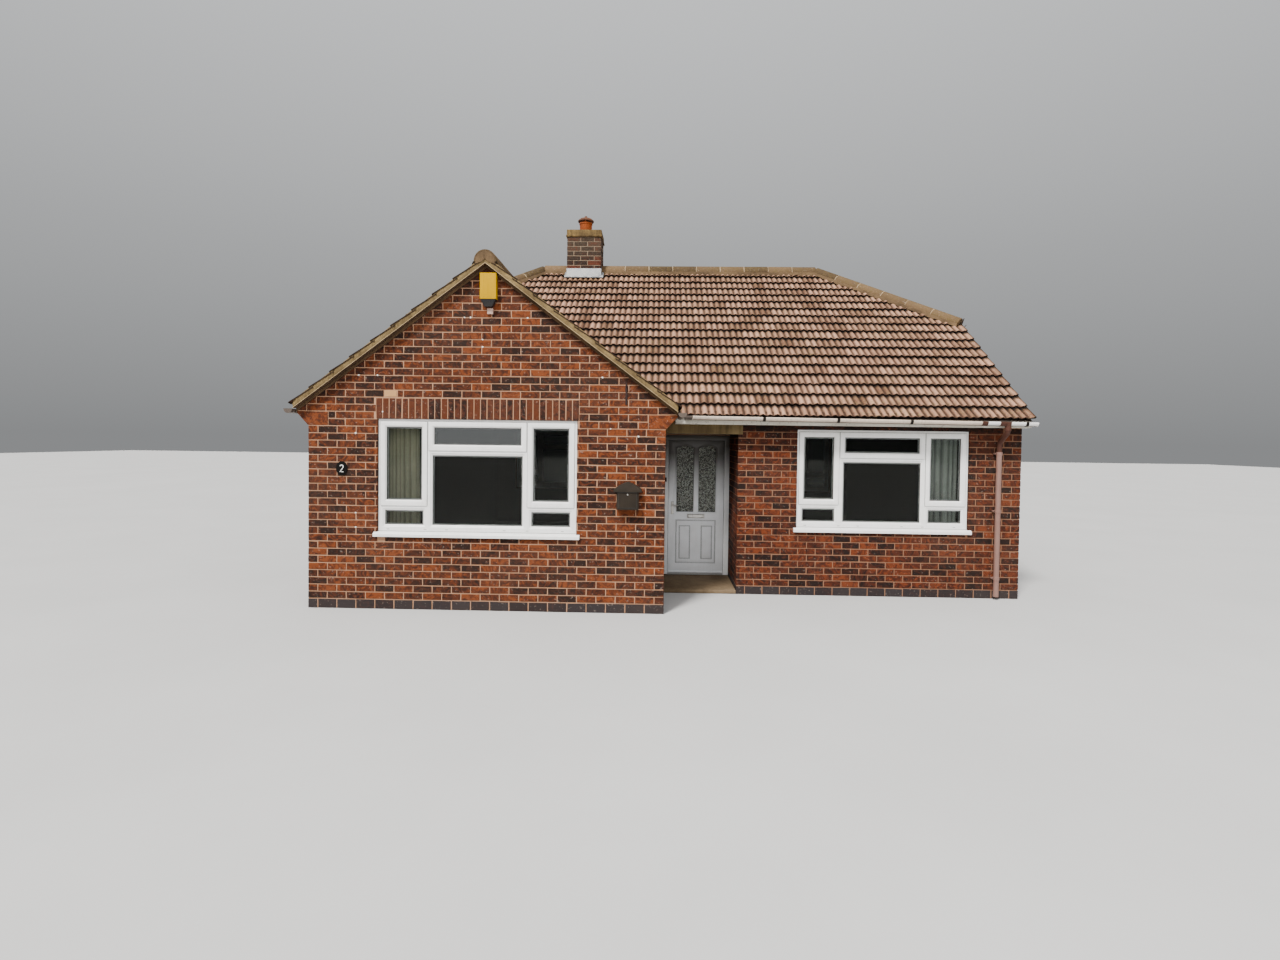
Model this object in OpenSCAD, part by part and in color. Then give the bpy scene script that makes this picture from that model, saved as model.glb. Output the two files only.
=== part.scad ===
// Detached brick bungalow with a gabled front wing and a half-hipped main roof.
// Millimetres, +Z up. The origin is at ground level, under the middle of the main ridge.
// -Y is the front, +X is the right-hand end as seen from the front.

/* [Main body] */
// Length of the main body over its two gable walls
body_w = 8780; // [8400:10:9600]
// Depth of the main body over its front and back walls
body_d = 6960; // [6600:10:7800]
// Thickness of every outer wall
wall_t = 260; // [220:5:300]
// Top of the floor slab above the ground
floor_z = 50; // [30:5:150]

/* [Front wing] */
// Width of the wing over its side walls
wing_w = 4210; // [4000:10:4600]
// How far the wing stands in front of the main front wall
wing_out = 1055; // [900:5:1300]
// How far the wing's left wall stands outside the left gable wall
wing_step = 102; // [60:1:160]
// How far the brick kneelers corbel out under the wing's eaves
kneeler_out = 135; // [110:1:150]
// Height at which the kneelers start to corbel
kneeler_z = 2155; // [2100:5:2200]
// Height of the sloping part of a kneeler
kneeler_rise = 150; // [100:5:160]

/* [Roof] */
// Pitch of the main and the wing slopes
pitch = 37; // [34:0.5:40]
// Height of the tile edge at the main eaves
eaves_z = 2385; // [2375:5:2600]
// How far the wing's tile edge lies above the main one
wing_eaves_up = 35; // [0:5:60]
// Thickness of the roof covering, square to the slope
roof_t = 60; // [50:1:80]
// How far the tiles reach past the main front and back walls
main_overhang = 250; // [220:5:320]
// How far the tiles reach past the wing's side walls
wing_overhang = 190; // [180:5:240]
// How far the tiles reach past the main gable walls
gable_overhang = 40; // [30:1:80]
// How far the tiles reach past the wing's front wall
wing_verge_out = 100; // [70:1:130]
// Height of the tile edge where a half-hip starts
hip_z = 3958; // [3700:10:4300]
// Length of the main ridge between the half-hips
ridge_len = 4980; // [4400:10:5600]
// Length of each main tile course that shows, along the slope
main_gauge = 260; // [220:1:320]
// Length of each wing tile course that shows, along the slope
wing_gauge = 300; // [240:1:340]
// Thickness of one tile at its edge
tile_t = 26; // [22:1:30]
// Height of the step at the foot of each tile course
tile_step = 26; // [8:1:30]
// Outer radius of the half-round ridge tiles
ridge_r = 130; // [110:1:140]
// How far the centre of a ridge tile lies below the peak of the slopes
ridge_drop = 80; // [60:1:90]
// Outer radius of the hip tiles
hip_r = 110; // [90:1:125]
// How far the centre of a hip tile lies below the hip line
hip_drop = 60; // [30:1:70]
// Depth of the mortar verge under the tiles
verge_h = 32; // [20:1:60]

/* [Eaves and rainwater] */
// Thickness of the fascia and soffit boards
board_t = 18; // [12:1:25]
// Underside of the main soffits
soffit_z = 2245; // [2235:1:2260]
// How far the tile edge hangs over the fascia
tile_drip = 50; // [40:1:60]
// Outer radius of the half-round gutters
gutter_r = 52; // [45:1:58]
// Thickness of the gutter wall
gutter_t = 3; // [2:0.5:4]
// Depth of the gutter rim below the top of the tile edge at its high end
gutter_drop = 40; // [40:1:60]
// Fall of the long gutters from end to end
gutter_fall = 36; // [0:1:45]
// Outer radius of the downpipes
pipe_r = 34; // [30:1:38]
// Distance from the main body's right-hand corner to the downpipe's centre
pipe_inset = 320; // [260:5:420]

/* [Windows] */
// Width of the wing window's opening
wing_win_w = 2350; // [2000:10:2500]
// Distance from the wing's left corner to its window
wing_win_x = 824; // [700:1:1000]
// Underside of the wing window's sill
wing_win_z = 858; // [800:1:950]
// Height of the wing window's opening, sill included
wing_win_h = 1388; // [1300:1:1400]
// Width of the side lights of the wing window
wing_side_w = 488; // [440:1:540]
// Width of the brick pier between the porch and the main window
porch_pier = 784; // [700:1:1000]
// Width of the brick pier between the main window and the right-hand corner
corner_pier = 674; // [560:1:760]
// Underside of the main window's sill
main_win_z = 840; // [800:1:900]
// Height of the main window's opening, sill included
main_win_h = 1354; // [1300:1:1380]
// Width of the side lights of the main window
main_side_w = 460; // [400:1:520]
// Width of the outer members of a window frame
frame_w = 62; // [50:1:75]
// Width of the mullions and transoms
mullion_w = 76; // [60:1:90]
// Depth of a window frame
frame_d = 65; // [60:1:75]
// Distance that a window frame stands back from the brick face
reveal = 28; // [20:1:60]
// Width of a sash's rails and stiles
sash_w = 34; // [28:1:42]
// How far a sash stands in front of its frame
sash_out = 10; // [6:1:14]
// Gap that shows between two neighbouring sashes
sash_gap = 12; // [8:1:20]
// Height of the top-hung vent's opening
vent_h = 271; // [220:1:320]
// Height of the small bottom light's opening
base_h = 200; // [160:1:260]
// Thickness of a sealed glass unit
glass_t = 24; // [20:1:28]
// Height of a window sill
sill_h = 62; // [50:1:70]
// How far a sill stands in front of the brick
sill_out = 32; // [20:1:50]
// Length of a sill's horn past the frame
sill_horn = 40; // [20:1:50]

/* [Porch and door] */
// Width of the porch opening
porch_w = 972; // [940:1:1200]
// Depth of the porch from the main front wall to the door frame
porch_d = 945; // [850:5:1100]
// Top of the porch step
step_z = 45; // [20:1:50]
// Underside of the porch lintel
lintel_z = 2122; // [2100:1:2140]
// Length of the lintel that bears on the wall
lintel_bearing = 62; // [50:1:100]
// Top of the door frame
door_top = 2110; // [2080:1:2120]
// Width of the door frame's members
door_frame_w = 75; // [60:1:85]
// Depth of the door frame
door_frame_d = 70; // [65:1:80]
// Height of the threshold above the floor
threshold_h = 12; // [10:1:20]
// Gap round the door leaf
door_gap = 5; // [5:0.5:8]
// Thickness of the door leaf
leaf_t = 60; // [50:1:64]
// Width of the leaf's stiles
stile_w = 118; // [100:1:130]
// Width of the bar between the door's two panes
door_bar_w = 72; // [50:1:90]
// Underside of the door's glass
door_glass_z = 976; // [940:1:1050]
// Height of the leaf's top rail
top_rail_h = 78; // [70:1:100]
// Height of the rail between the glass and the lower panels
mid_rail_h = 117; // [100:1:130]
// Height of the leaf's bottom rail
bottom_rail_h = 152; // [140:1:220]
// Height of the door's lever handle
handle_z = 1070; // [1040:1:1090]
// Length of the lever
lever_len = 94; // [90:1:130]

/* [Chimney] */
// Width of the chimney stack along the ridge
stack_w = 620; // [550:5:800]
// Depth of the chimney stack across the ridge
stack_d = 540; // [440:5:700]
// Distance of the chimney's centre from the left-hand end of the main ridge
stack_in = 745; // [600:1:900]
// Underside of the chimney's crown
stack_top = 5700; // [5600:10:6000]
// Height of the crown's oversailing courses
crown_h = 130; // [90:1:170]
// How far the crown oversails the stack
crown_out = 18; // [10:1:40]
// Width of the lead flashing round the stack
lead_w = 45; // [30:1:150]
// Height of the chimney pot up to its hood
pot_h = 197; // [150:1:300]
// Outer radius of the chimney pot's body
pot_r = 112; // [90:1:125]
// Radius of the brim of the pot's hood
hood_r = 146; // [130:1:160]

/* [Fixtures] */
// Height of the post box's lid edge
post_z = 1430; // [1350:5:1500]
// Centre of the post box from the wing's right-hand corner
post_x = 433; // [300:1:500]
// Width of the alarm box
alarm_w = 190; // [160:1:220]
// Gap between the alarm box's top corner and the verge above it
alarm_gap = 9; // [2:1:60]
// Centre of the small cable box below the alarm, from the wing's centre line
cable_x = 46; // [30:1:80]
// Gap between the alarm box and the cable box below it
cable_gap = 12; // [5:1:120]
// Width of the house number plaque
plaque_w = 132; // [110:1:150]
// Height of the plaque's centre
plaque_z = 1655; // [1600:5:1750]
// Centre of the plaque from the wing's left-hand corner
plaque_x = 404; // [300:1:500]
// Height of the bell push
bell_z = 1450; // [1300:5:1600]
// Foot of the iron hook on the wing's front wall
hook_z = 2440; // [2400:5:2700]
// Centre of the hook from the wing's right-hand corner
hook_x = 465; // [300:5:600]

/* [Hidden] */
$fn = 48;

brick = [0.62, 0.32, 0.2];
tile = [0.62, 0.47, 0.38];
upvc = [0.93, 0.93, 0.91];
pane = [0.55, 0.65, 0.7, 0.5];
concrete = [0.75, 0.72, 0.62];
eps = 1;

// Plan lines of the walls
half_w = body_w / 2;
half_d = body_d / 2;
wing_l = -half_w - wing_step;
wing_r = wing_l + wing_w;
wing_cx = wing_l + wing_w / 2;
wing_f = -half_d - wing_out;
porch_r = wing_r + porch_w;
door_y = -half_d + porch_d;
door_wall_back = door_y + wall_t;
door_head_in = 25;
win_l = wing_l + wing_win_x;
main_win_l = porch_r + porch_pier;
main_win_w = half_w - corner_pier - main_win_l;
rear_win_x = [-half_w + corner_pier, half_w - corner_pier - main_win_w];

// Roof planes, measured on the noses of the tiles
slope = tan(pitch);
roof_v = roof_t / cos(pitch);
tile_v = tile_t / cos(pitch);
main_edge = half_d + main_overhang;
wing_edge = wing_w / 2 + wing_overhang;
main_apex = eaves_z + main_edge * slope;
wing_apex = eaves_z + wing_eaves_up + wing_edge * slope;
verge_x = half_w + gable_overhang;
verge_y = wing_f - wing_verge_out;
hip_y = main_edge - (hip_z - eaves_z) / slope;
hip_run = verge_x - ridge_len / 2;
hip_slope = (main_apex - hip_z) / hip_run;
hip_v = roof_t / cos(atan(hip_slope));
hip_gap = 1;
stack_x = ridge_len / 2 - stack_in;
valley_y = (main_apex - wing_apex) / slope;
valley_l = [-verge_x, -valley_y - (wing_cx + verge_x)];
valley_top = [wing_cx, -valley_y];
valley_r = [wing_cx + wing_edge, -valley_y - wing_edge];
sky = 9000;
bed_depth = 2000;

function main_top(y) = main_apex - abs(y) * slope;
function wing_top(x) = wing_apex - abs(x - wing_cx) * slope;

// A profile of distance and height, drawn along the length of the house
module along_x(x0, x1) {
    translate([x0, 0, 0]) rotate([90, 0, 90]) linear_extrude(x1 - x0) children();
}

// A profile of distance and height, drawn from front to back
module along_y(y0, y1) {
    translate([0, y1, 0]) rotate([90, 0, 0]) linear_extrude(y1 - y0) children();
}

module block(x0, x1, y0, y1, z0, z1) {
    translate([x0, y0, z0]) cube([x1 - x0, y1 - y0, z1 - z0]);
}

// One slope in section: a stepped top for the courses over a plain underside.
// The ridge is at distance 0 and the eaves at distance edge. Past the board at distance
// board the slope is as thin as one tile.
module slope_profile(edge, board, apex, steep, gauge, depth) {
    run = gauge * cos(atan(steep));
    count = floor((edge - eps) / run);
    dip = tile_step / cos(atan(steep));
    steps = [for (i = [0:count]) let (d = edge - i * run)
        each [[d, apex - d * steep], [max(d - run, 0), apex - max(d - run, 0) * steep - dip]]];
    foot = board < edge
        ? [[board, apex - board * steep - depth], [board, apex - board * steep - tile_v],
            [edge, apex - edge * steep - tile_v]]
        : [[edge, apex - edge * steep - depth]];
    polygon(concat(steps, [[0, apex - depth]], foot));
}

// Everything below the underside of the main roof
module under_main_roof() {
    intersection() {
        along_x(-sky, sky) polygon([
            [-main_edge, -eps], [main_edge, -eps], [main_edge, main_top(main_edge) - roof_v],
            [0, main_apex - roof_v], [-main_edge, main_top(main_edge) - roof_v]]);
        along_y(-sky, sky) polygon([
            [-sky, -eps], [sky, -eps],
            [sky, main_apex - hip_v - (sky - ridge_len / 2) * hip_slope],
            [ridge_len / 2, main_apex - hip_v], [-ridge_len / 2, main_apex - hip_v],
            [-sky, main_apex - hip_v - (sky - ridge_len / 2) * hip_slope]]);
    }
}

// Everything below the underside of the wing's roof, as far back as its valleys
module under_wing_roof() {
    along_y(-sky, half_d) polygon([
        [wing_cx - wing_edge, -eps], [wing_cx + wing_edge, -eps],
        [wing_cx + wing_edge, wing_top(wing_cx + wing_edge) - roof_v],
        [wing_cx, wing_apex - roof_v],
        [wing_cx - wing_edge, wing_top(wing_cx - wing_edge) - roof_v]]);
}

// Walls

module floor_slab() {
    color(concrete) difference() {
        union() {
            block(-half_w + wall_t, half_w - wall_t, -half_d + wall_t, half_d - wall_t, 0, floor_z);
            block(wing_l + wall_t, wing_r - wall_t, wing_f + wall_t, -half_d + wall_t + eps,
                0, floor_z);
        }
        block(wing_r - wall_t, porch_r + wall_t, -half_d, door_wall_back, -eps, sky);
        block(-sky, -half_w + wall_t, -half_d, half_d, -eps, sky);
    }
    color(concrete) block(wing_r, porch_r, door_y, door_wall_back, 0, floor_z);
}

module kneeler_outline() {
    kneeler_top = wing_top(wing_l - kneeler_out) - roof_v;
    polygon([
        [wing_l, 0], [wing_r, 0], [wing_r, kneeler_z],
        [wing_r + kneeler_out, kneeler_z + kneeler_rise], [wing_r + kneeler_out, kneeler_top],
        [wing_cx, wing_apex - roof_v],
        [wing_l - kneeler_out, kneeler_top], [wing_l - kneeler_out, kneeler_z + kneeler_rise],
        [wing_l, kneeler_z]]);
}

module wing_front_wall() {
    color(brick) difference() {
        along_y(wing_f, wing_f + wall_t) kneeler_outline();
        block(win_l, win_l + wing_win_w, wing_f - eps, wing_f + wall_t + eps,
            wing_win_z, wing_win_z + wing_win_h);
        soldier_block();
    }
}

soldier_h = 240;
soldier_past = 19;
half_brick = 102;

module soldier_block() {
    block(win_l - soldier_past, win_l + wing_win_w + soldier_past, wing_f, wing_f + half_brick,
        wing_win_z + wing_win_h, wing_win_z + wing_win_h + soldier_h);
}

module soldier_course() {
    color([0.45, 0.22, 0.15]) soldier_block();
}

module wing_left_wall() {
    color(brick) intersection() {
        block(wing_l, wing_l + wall_t, wing_f + wall_t, -half_d, 0, sky);
        under_wing_roof();
    }
}

module wing_right_wall() {
    color(brick) intersection() {
        block(wing_r - wall_t, wing_r, wing_f + wall_t, door_wall_back, 0, sky);
        union() {
            under_wing_roof();
            under_main_roof();
        }
    }
}

module main_front_wall() {
    color(brick) intersection() {
        difference() {
            block(porch_r, half_w - wall_t, -half_d, -half_d + wall_t, 0, sky);
            block(main_win_l, main_win_l + main_win_w, -half_d - eps, -half_d + wall_t + eps,
                main_win_z, main_win_z + main_win_h);
            lintel_block();
        }
        under_main_roof();
    }
}

lintel_d = 102;

module lintel_block() {
    block(wing_r, porch_r + lintel_bearing, -half_d, -half_d + lintel_d, lintel_z, soffit_z);
}

module porch_lintel() {
    color([0.8, 0.76, 0.62]) lintel_block();
    color(brick) intersection() {
        block(wing_r, porch_r, -half_d, -half_d + lintel_d, soffit_z, sky);
        under_main_roof();
    }
}

module porch_side_wall() {
    color(brick) intersection() {
        block(porch_r, porch_r + wall_t, -half_d + wall_t, door_wall_back, 0, sky);
        under_main_roof();
    }
}

module door_head_wall() {
    color(brick) intersection() {
        block(wing_r, porch_r, door_y - door_head_in, door_wall_back, door_top, sky);
        under_main_roof();
    }
}

module gable_wall(side) {
    x0 = side > 0 ? half_w - wall_t : -half_w;
    color(brick) intersection() {
        block(x0, x0 + wall_t, -half_d, half_d, 0, sky);
        under_main_roof();
    }
}

module left_gable_wall() {
    gable_wall(-1);
}

module right_gable_wall() {
    gable_wall(1);
}

module back_wall() {
    color(brick) intersection() {
        difference() {
            block(-half_w + wall_t, half_w - wall_t, half_d - wall_t, half_d, 0, sky);
            for (x = rear_win_x)
                block(x, x + main_win_w, half_d - wall_t - eps, half_d + eps,
                    main_win_z, main_win_z + main_win_h);
        }
        under_main_roof();
    }
}

// Porch

module porch_step() {
    color(concrete) block(wing_r, porch_r, -half_d, door_y, 0, step_z);
}

module porch_ceiling() {
    color(upvc) block(wing_r, porch_r, -half_d + lintel_d, door_y - door_head_in,
        lintel_z, lintel_z + board_t);
}

// Windows. A window is drawn from its left jamb, outer face and sill underside.

function window_cells(w, h, side) = let (
    z0 = sill_h + frame_w,
    z1 = h - frame_w,
    x1 = frame_w + side,
    x2 = x1 + mullion_w,
    x3 = w - frame_w - side)
    [
        // left, right, bottom and top of a light, and whether it has a sash
        [frame_w, x1, z0, z0 + base_h, false],
        [frame_w, x1, z0 + base_h + mullion_w, z1, true],
        [x2, x3 - mullion_w, z0, z1 - vent_h - mullion_w, false],
        [x2, x3 - mullion_w, z1 - vent_h, z1, true],
        [x3, w - frame_w, z0, z0 + base_h, false],
        [x3, w - frame_w, z0 + base_h + mullion_w, z1, true]
    ];

module window_frame(w, h, side) {
    color(upvc) difference() {
        block(0, w, 0, frame_d, sill_h, h);
        for (c = window_cells(w, h, side))
            block(c[0], c[1], -eps, frame_d + eps, c[2], c[3]);
    }
}

// Each sash has a flange that laps over the front of the frame round it
module window_sash_set(w, h, side) {
    lap = (mullion_w - sash_gap) / 2;
    color(upvc) for (c = window_cells(w, h, side)) if (c[4]) difference() {
        union() {
            block(c[0] - lap, c[1] + lap, -sash_out, 0, c[2] - lap, c[3] + lap);
            block(c[0], c[1], -sash_out, frame_d, c[2], c[3]);
        }
        block(c[0] + sash_w, c[1] - sash_w, -sash_out - eps, frame_d + eps,
            c[2] + sash_w, c[3] - sash_w);
    }
}

module window_panes(w, h, side) {
    y0 = (frame_d - glass_t) / 2;
    color(pane) for (c = window_cells(w, h, side)) {
        in = c[4] ? sash_w : 0;
        block(c[0] + in, c[1] - in, y0, y0 + glass_t, c[2] + in, c[3] - in);
    }
}

module window_sill(w) {
    nose = 24;
    fall = 14;
    back = frame_d;
    front = -reveal - sill_out;
    color(upvc) union() {
        along_x(-sill_horn, w + sill_horn) polygon([
            [front, 0], [-reveal, 0], [-reveal, sill_h - fall / 2],
            [front + fall, sill_h - fall], [front, nose + fall]]);
        along_x(0, w) polygon([
            [-reveal, 0], [back, 0], [back, sill_h], [0, sill_h],
            [-reveal, sill_h - fall / 2]]);
    }
}

module at_wing_window() {
    translate([win_l, wing_f + reveal, wing_win_z]) children();
}

module at_main_window() {
    translate([main_win_l, -half_d + reveal, main_win_z]) children();
}

module at_rear_windows() {
    for (x = rear_win_x)
        translate([x + main_win_w, half_d - reveal, main_win_z]) rotate([0, 0, 180]) children();
}

module wing_window_frame() {
    at_wing_window() window_frame(wing_win_w, wing_win_h, wing_side_w);
}

module main_window_frame() {
    at_main_window() window_frame(main_win_w, main_win_h, main_side_w);
}

module rear_window_frames() {
    at_rear_windows() window_frame(main_win_w, main_win_h, main_side_w);
}

module window_sashes() {
    at_wing_window() window_sash_set(wing_win_w, wing_win_h, wing_side_w);
    at_main_window() window_sash_set(main_win_w, main_win_h, main_side_w);
    at_rear_windows() window_sash_set(main_win_w, main_win_h, main_side_w);
}

module window_glass() {
    at_wing_window() window_panes(wing_win_w, wing_win_h, wing_side_w);
    at_main_window() window_panes(main_win_w, main_win_h, main_side_w);
    at_rear_windows() window_panes(main_win_w, main_win_h, main_side_w);
}

module window_sills() {
    at_wing_window() window_sill(wing_win_w);
    at_main_window() window_sill(main_win_w);
    at_rear_windows() window_sill(main_win_w);
}

// Curtains hang from tracks under the window heads, just behind the frames

track_h = 20;
track_d = 24;
curtain_gap = 45;
curtain_d = 70;
curtain_w = 430;
curtain_lift = 12;

module track(w, h) {
    color(upvc) block(0, w, frame_d + curtain_gap, frame_d + curtain_gap + track_d,
        h - track_h, h);
}

module curtain(x, h) {
    mid = frame_d + curtain_gap + track_d / 2;
    color([0.7, 0.68, 0.62]) block(x, x + curtain_w, mid - curtain_d / 2, mid + curtain_d / 2,
        curtain_lift, h - track_h);
}

module curtain_tracks() {
    at_wing_window() track(wing_win_w, wing_win_h);
    at_main_window() track(main_win_w, main_win_h);
}

module curtains() {
    at_wing_window() curtain(frame_w, wing_win_h);
    at_main_window() curtain(main_win_w - frame_w - curtain_w, main_win_h);
}

// Front door. The leaf hangs on its right-hand side and opens inwards.

frame_in = door_y + door_frame_d;
jamb_l = wing_r + door_frame_w;
jamb_r = porch_r - door_frame_w;
leaf_l = jamb_l + door_gap;
leaf_r = jamb_r - door_gap;
leaf_y = frame_in - leaf_t;
leaf_z = floor_z + threshold_h + door_gap;
leaf_top = door_top - door_frame_w - door_gap;

hinge_r = 9;
pin_r = 5;
pin_play = 0.05;
knuckle_h = 34;
knuckle_gap = 0.3;
hinge_plate_t = 4;
hinge_plate_w = 40;
hinge_x = (jamb_r + leaf_r) / 2;
hinge_y = frame_in + hinge_plate_t + hinge_r;
hinge_in = 220;
hinge_zs = [leaf_z + hinge_in, (leaf_z + leaf_top) / 2, leaf_top - hinge_in];

module door_frame() {
    color(upvc) difference() {
        block(wing_r, porch_r, door_y, frame_in, floor_z, door_top);
        block(jamb_l, jamb_r, door_y - eps, frame_in + eps, floor_z + threshold_h,
            door_top - door_frame_w);
    }
}

// The fixed half of a hinge: a plate on the frame, two knuckles and the pin
module hinge_posts() {
    color([0.8, 0.8, 0.8]) for (z = hinge_zs) translate([hinge_x, hinge_y, z]) {
        for (s = [-1, 1]) translate([0, 0, s * (knuckle_h + knuckle_gap) - knuckle_h / 2])
            hinge_half(1);
        translate([0, 0, -knuckle_h - knuckle_gap]) cylinder(r = pin_r,
            h = 2 * (knuckle_h + knuckle_gap));
    }
}

// A knuckle with its own plate, to the right of the pin or to the left
module hinge_half(side) {
    cylinder(r = hinge_r, h = knuckle_h);
    x0 = side > 0 ? 0 : -hinge_plate_w;
    block(x0, x0 + hinge_plate_w, -hinge_plate_t / 2, hinge_plate_t / 2, 0, knuckle_h);
    foot = side > 0 ? hinge_plate_w - hinge_plate_t * 2 : -hinge_plate_w;
    block(foot, foot + hinge_plate_t * 2, -hinge_r - hinge_plate_t, 0, 0, knuckle_h);
}

module hinge_knuckles() {
    color([0.8, 0.8, 0.8]) for (z = hinge_zs) translate([hinge_x, hinge_y, z]) difference() {
        translate([0, 0, -knuckle_h / 2]) hinge_half(-1);
        translate([0, 0, -knuckle_h]) cylinder(r = pin_r + pin_play, h = 2 * knuckle_h);
    }
}

glass_l = leaf_l + stile_w;
glass_r = leaf_r - stile_w;
glass_w = (glass_r - glass_l - door_bar_w) / 2;
glass_top = leaf_top - top_rail_h;
panel_z = leaf_z + bottom_rail_h;
panel_top = door_glass_z - mid_rail_h;
groove_w = 14;
groove_in = 7;
groove_past = 6;
field_side = 43;
field_foot = 61;
field_head = 84;
arch_rise = 38;
spindle_room = 4;
door_glass_t = 28;
handle_x = leaf_l + 60;
spindle_r = 8;
spindle_play = 0.1;
letter_w = 256;
letter_h = 62;

// The outline of one pane: straight sides under a low arch
module pane_outline() {
    radius = (pow(glass_w / 2, 2) + pow(arch_rise, 2)) / (2 * arch_rise);
    intersection() {
        translate([0, door_glass_z]) square([glass_w, glass_top - door_glass_z]);
        union() {
            translate([0, door_glass_z])
                square([glass_w, glass_top - arch_rise - door_glass_z]);
            translate([glass_w / 2, glass_top - radius]) circle(r = radius, $fn = 120);
        }
    }
}

module door_panes(y0, y1) {
    for (x = [glass_l, glass_r - glass_w]) along_y(y0, y1) translate([x, 0]) pane_outline();
}

// A rectangular groove in the front of the leaf
module groove(x0, x1, z0, z1) {
    difference() {
        block(x0, x1, leaf_y - eps, leaf_y + groove_in, z0, z1);
        block(x0 + groove_w, x1 - groove_w, leaf_y - 2 * eps, leaf_y + groove_in + eps,
            z0 + groove_w, z1 - groove_w);
    }
}

// One groove round the whole lower panel, and one round each of its two fields
module panel_grooves() {
    groove(glass_l - groove_past, glass_r + groove_past, panel_z, panel_top);
    for (x = [glass_l, glass_r - glass_w])
        groove(x + field_side, x + glass_w - field_side, panel_z + field_foot,
            panel_top - field_head);
}

module front_door() {
    color(upvc) difference() {
        block(leaf_l, leaf_r, leaf_y, frame_in, leaf_z, leaf_top);
        door_panes(leaf_y - eps, frame_in + eps);
        panel_grooves();
        spindle(spindle_r + spindle_room);
    }
}

module spindle(r) {
    translate([handle_x, leaf_y - lever_off, handle_z]) rotate([-90, 0, 0])
        cylinder(r = r, h = leaf_t + 2 * lever_off);
}

module door_glass() {
    color(pane) door_panes(leaf_y + (leaf_t - door_glass_t) / 2,
        leaf_y + (leaf_t + door_glass_t) / 2);
}

plate_w = 36;
plate_below = 130;
plate_above = 55;
plate_t = 8;

module handle_plates() {
    color([0.85, 0.85, 0.84]) difference() {
        for (y = [leaf_y - plate_t, frame_in])
            block(handle_x - plate_w / 2, handle_x + plate_w / 2, y, y + plate_t,
                handle_z - plate_below, handle_z + plate_above);
        spindle(spindle_r + spindle_play);
    }
}

lever_r = 8;
lever_off = 45;

// Two levers on one spindle, one on each side of the leaf
module door_handle() {
    color([0.85, 0.85, 0.84]) union() {
        spindle(spindle_r);
        for (y = [leaf_y - lever_off, frame_in + lever_off - 2 * lever_r])
            translate([handle_x, y + lever_r, handle_z]) rotate([0, 90, 0])
                cylinder(r = lever_r, h = lever_len);
    }
}

module letter_plate() {
    mid = (leaf_l + leaf_r) / 2;
    z = (panel_top + door_glass_z) / 2;
    color([0.85, 0.85, 0.84]) for (y = [leaf_y - plate_t, frame_in])
        block(mid - letter_w / 2, mid + letter_w / 2, y, y + plate_t,
            z - letter_h / 2, z + letter_h / 2);
}

// Roof

module plan(points) {
    linear_extrude(sky) polygon(points);
}

module main_slope(front) {
    points = [
        [verge_x, -hip_y], [ridge_len / 2, 0], [-ridge_len / 2, 0], [-verge_x, -hip_y]];
    eaves = front
        ? [valley_l, valley_top, valley_r, [valley_r[0], -main_edge], [verge_x, -main_edge]]
        : [[-verge_x, -main_edge], [verge_x, -main_edge]];
    color(tile) mirror([0, front ? 0 : 1, 0]) intersection() {
        along_x(-verge_x, verge_x) mirror([1, 0])
            slope_profile(main_edge, half_d + fascia_out, main_apex, slope, main_gauge, roof_v);
        plan(concat(points, eaves));
    }
}

module main_roof_front() {
    difference() {
        main_slope(true);
        chimney_hole();
    }
}

module main_roof_back() {
    difference() {
        main_slope(false);
        chimney_hole();
    }
}

module half_hip(side) {
    color(tile) mirror([side > 0 ? 0 : 1, 0, 0]) intersection() {
        along_y(-hip_y, hip_y) translate([ridge_len / 2, 0])
            slope_profile(hip_run, hip_run, main_apex, hip_slope, main_gauge, hip_v);
        plan([[ridge_len / 2, 0], [verge_x, -hip_y], [verge_x, hip_y]]);
    }
}

module half_hip_left() {
    half_hip(-1);
}

module half_hip_right() {
    half_hip(1);
}

module wing_slope(side) {
    left = wing_cx - wing_edge;
    points = side > 0
        ? [[wing_cx, verge_y], [wing_cx + wing_edge, verge_y], valley_r, valley_top]
        : [[wing_cx, verge_y], valley_top, valley_l, [left, valley_l[1]], [left, verge_y]];
    color(tile) intersection() {
        along_y(verge_y, 0) translate([wing_cx, 0]) mirror([side > 0 ? 0 : 1, 0])
            slope_profile(wing_edge, wing_w / 2 + kneeler_out, wing_apex, slope, wing_gauge,
                roof_v);
        plan(points);
    }
}

module wing_roof_left() {
    wing_slope(-1);
}

module wing_roof_right() {
    wing_slope(1);
}

// A half-round tile and its mortar bed in section, over the peak of two slopes
module ridge_section() {
    circle(r = ridge_r);
    translate([-ridge_r, -ridge_r]) square([2 * ridge_r, ridge_r]);
}

// Main ridge tiles, bedded on the tiles below them
module ridge_tiles() {
    color([0.45, 0.4, 0.28]) difference() {
        along_x(-ridge_len / 2, ridge_len / 2)
            translate([0, main_apex - ridge_drop]) ridge_section();
        under_tiles();
        chimney_hole();
    }
}

// The four runs of hip tiles, each from an end of the ridge down to the foot of a half-hip
module hip_tiles() {
    fall = main_apex - hip_z;
    reach = norm([hip_run, hip_y]);
    color([0.45, 0.4, 0.28]) for (a = [0, 1], b = [0, 1])
        mirror([a, 0, 0]) mirror([0, b, 0]) difference() {
            intersection() {
                translate([ridge_len / 2, 0, main_apex - hip_drop])
                    rotate([0, 0, -atan(hip_y / hip_run)]) rotate([0, atan(fall / reach), 0])
                        along_x(-2 * hip_r, norm([reach, fall]) + hip_r)
                            circle(r = hip_r);
                block(ridge_len / 2 + hip_gap, verge_x, -hip_y, -hip_gap, 0, sky);
            }
            under_hip_corner();
        }
}

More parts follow.
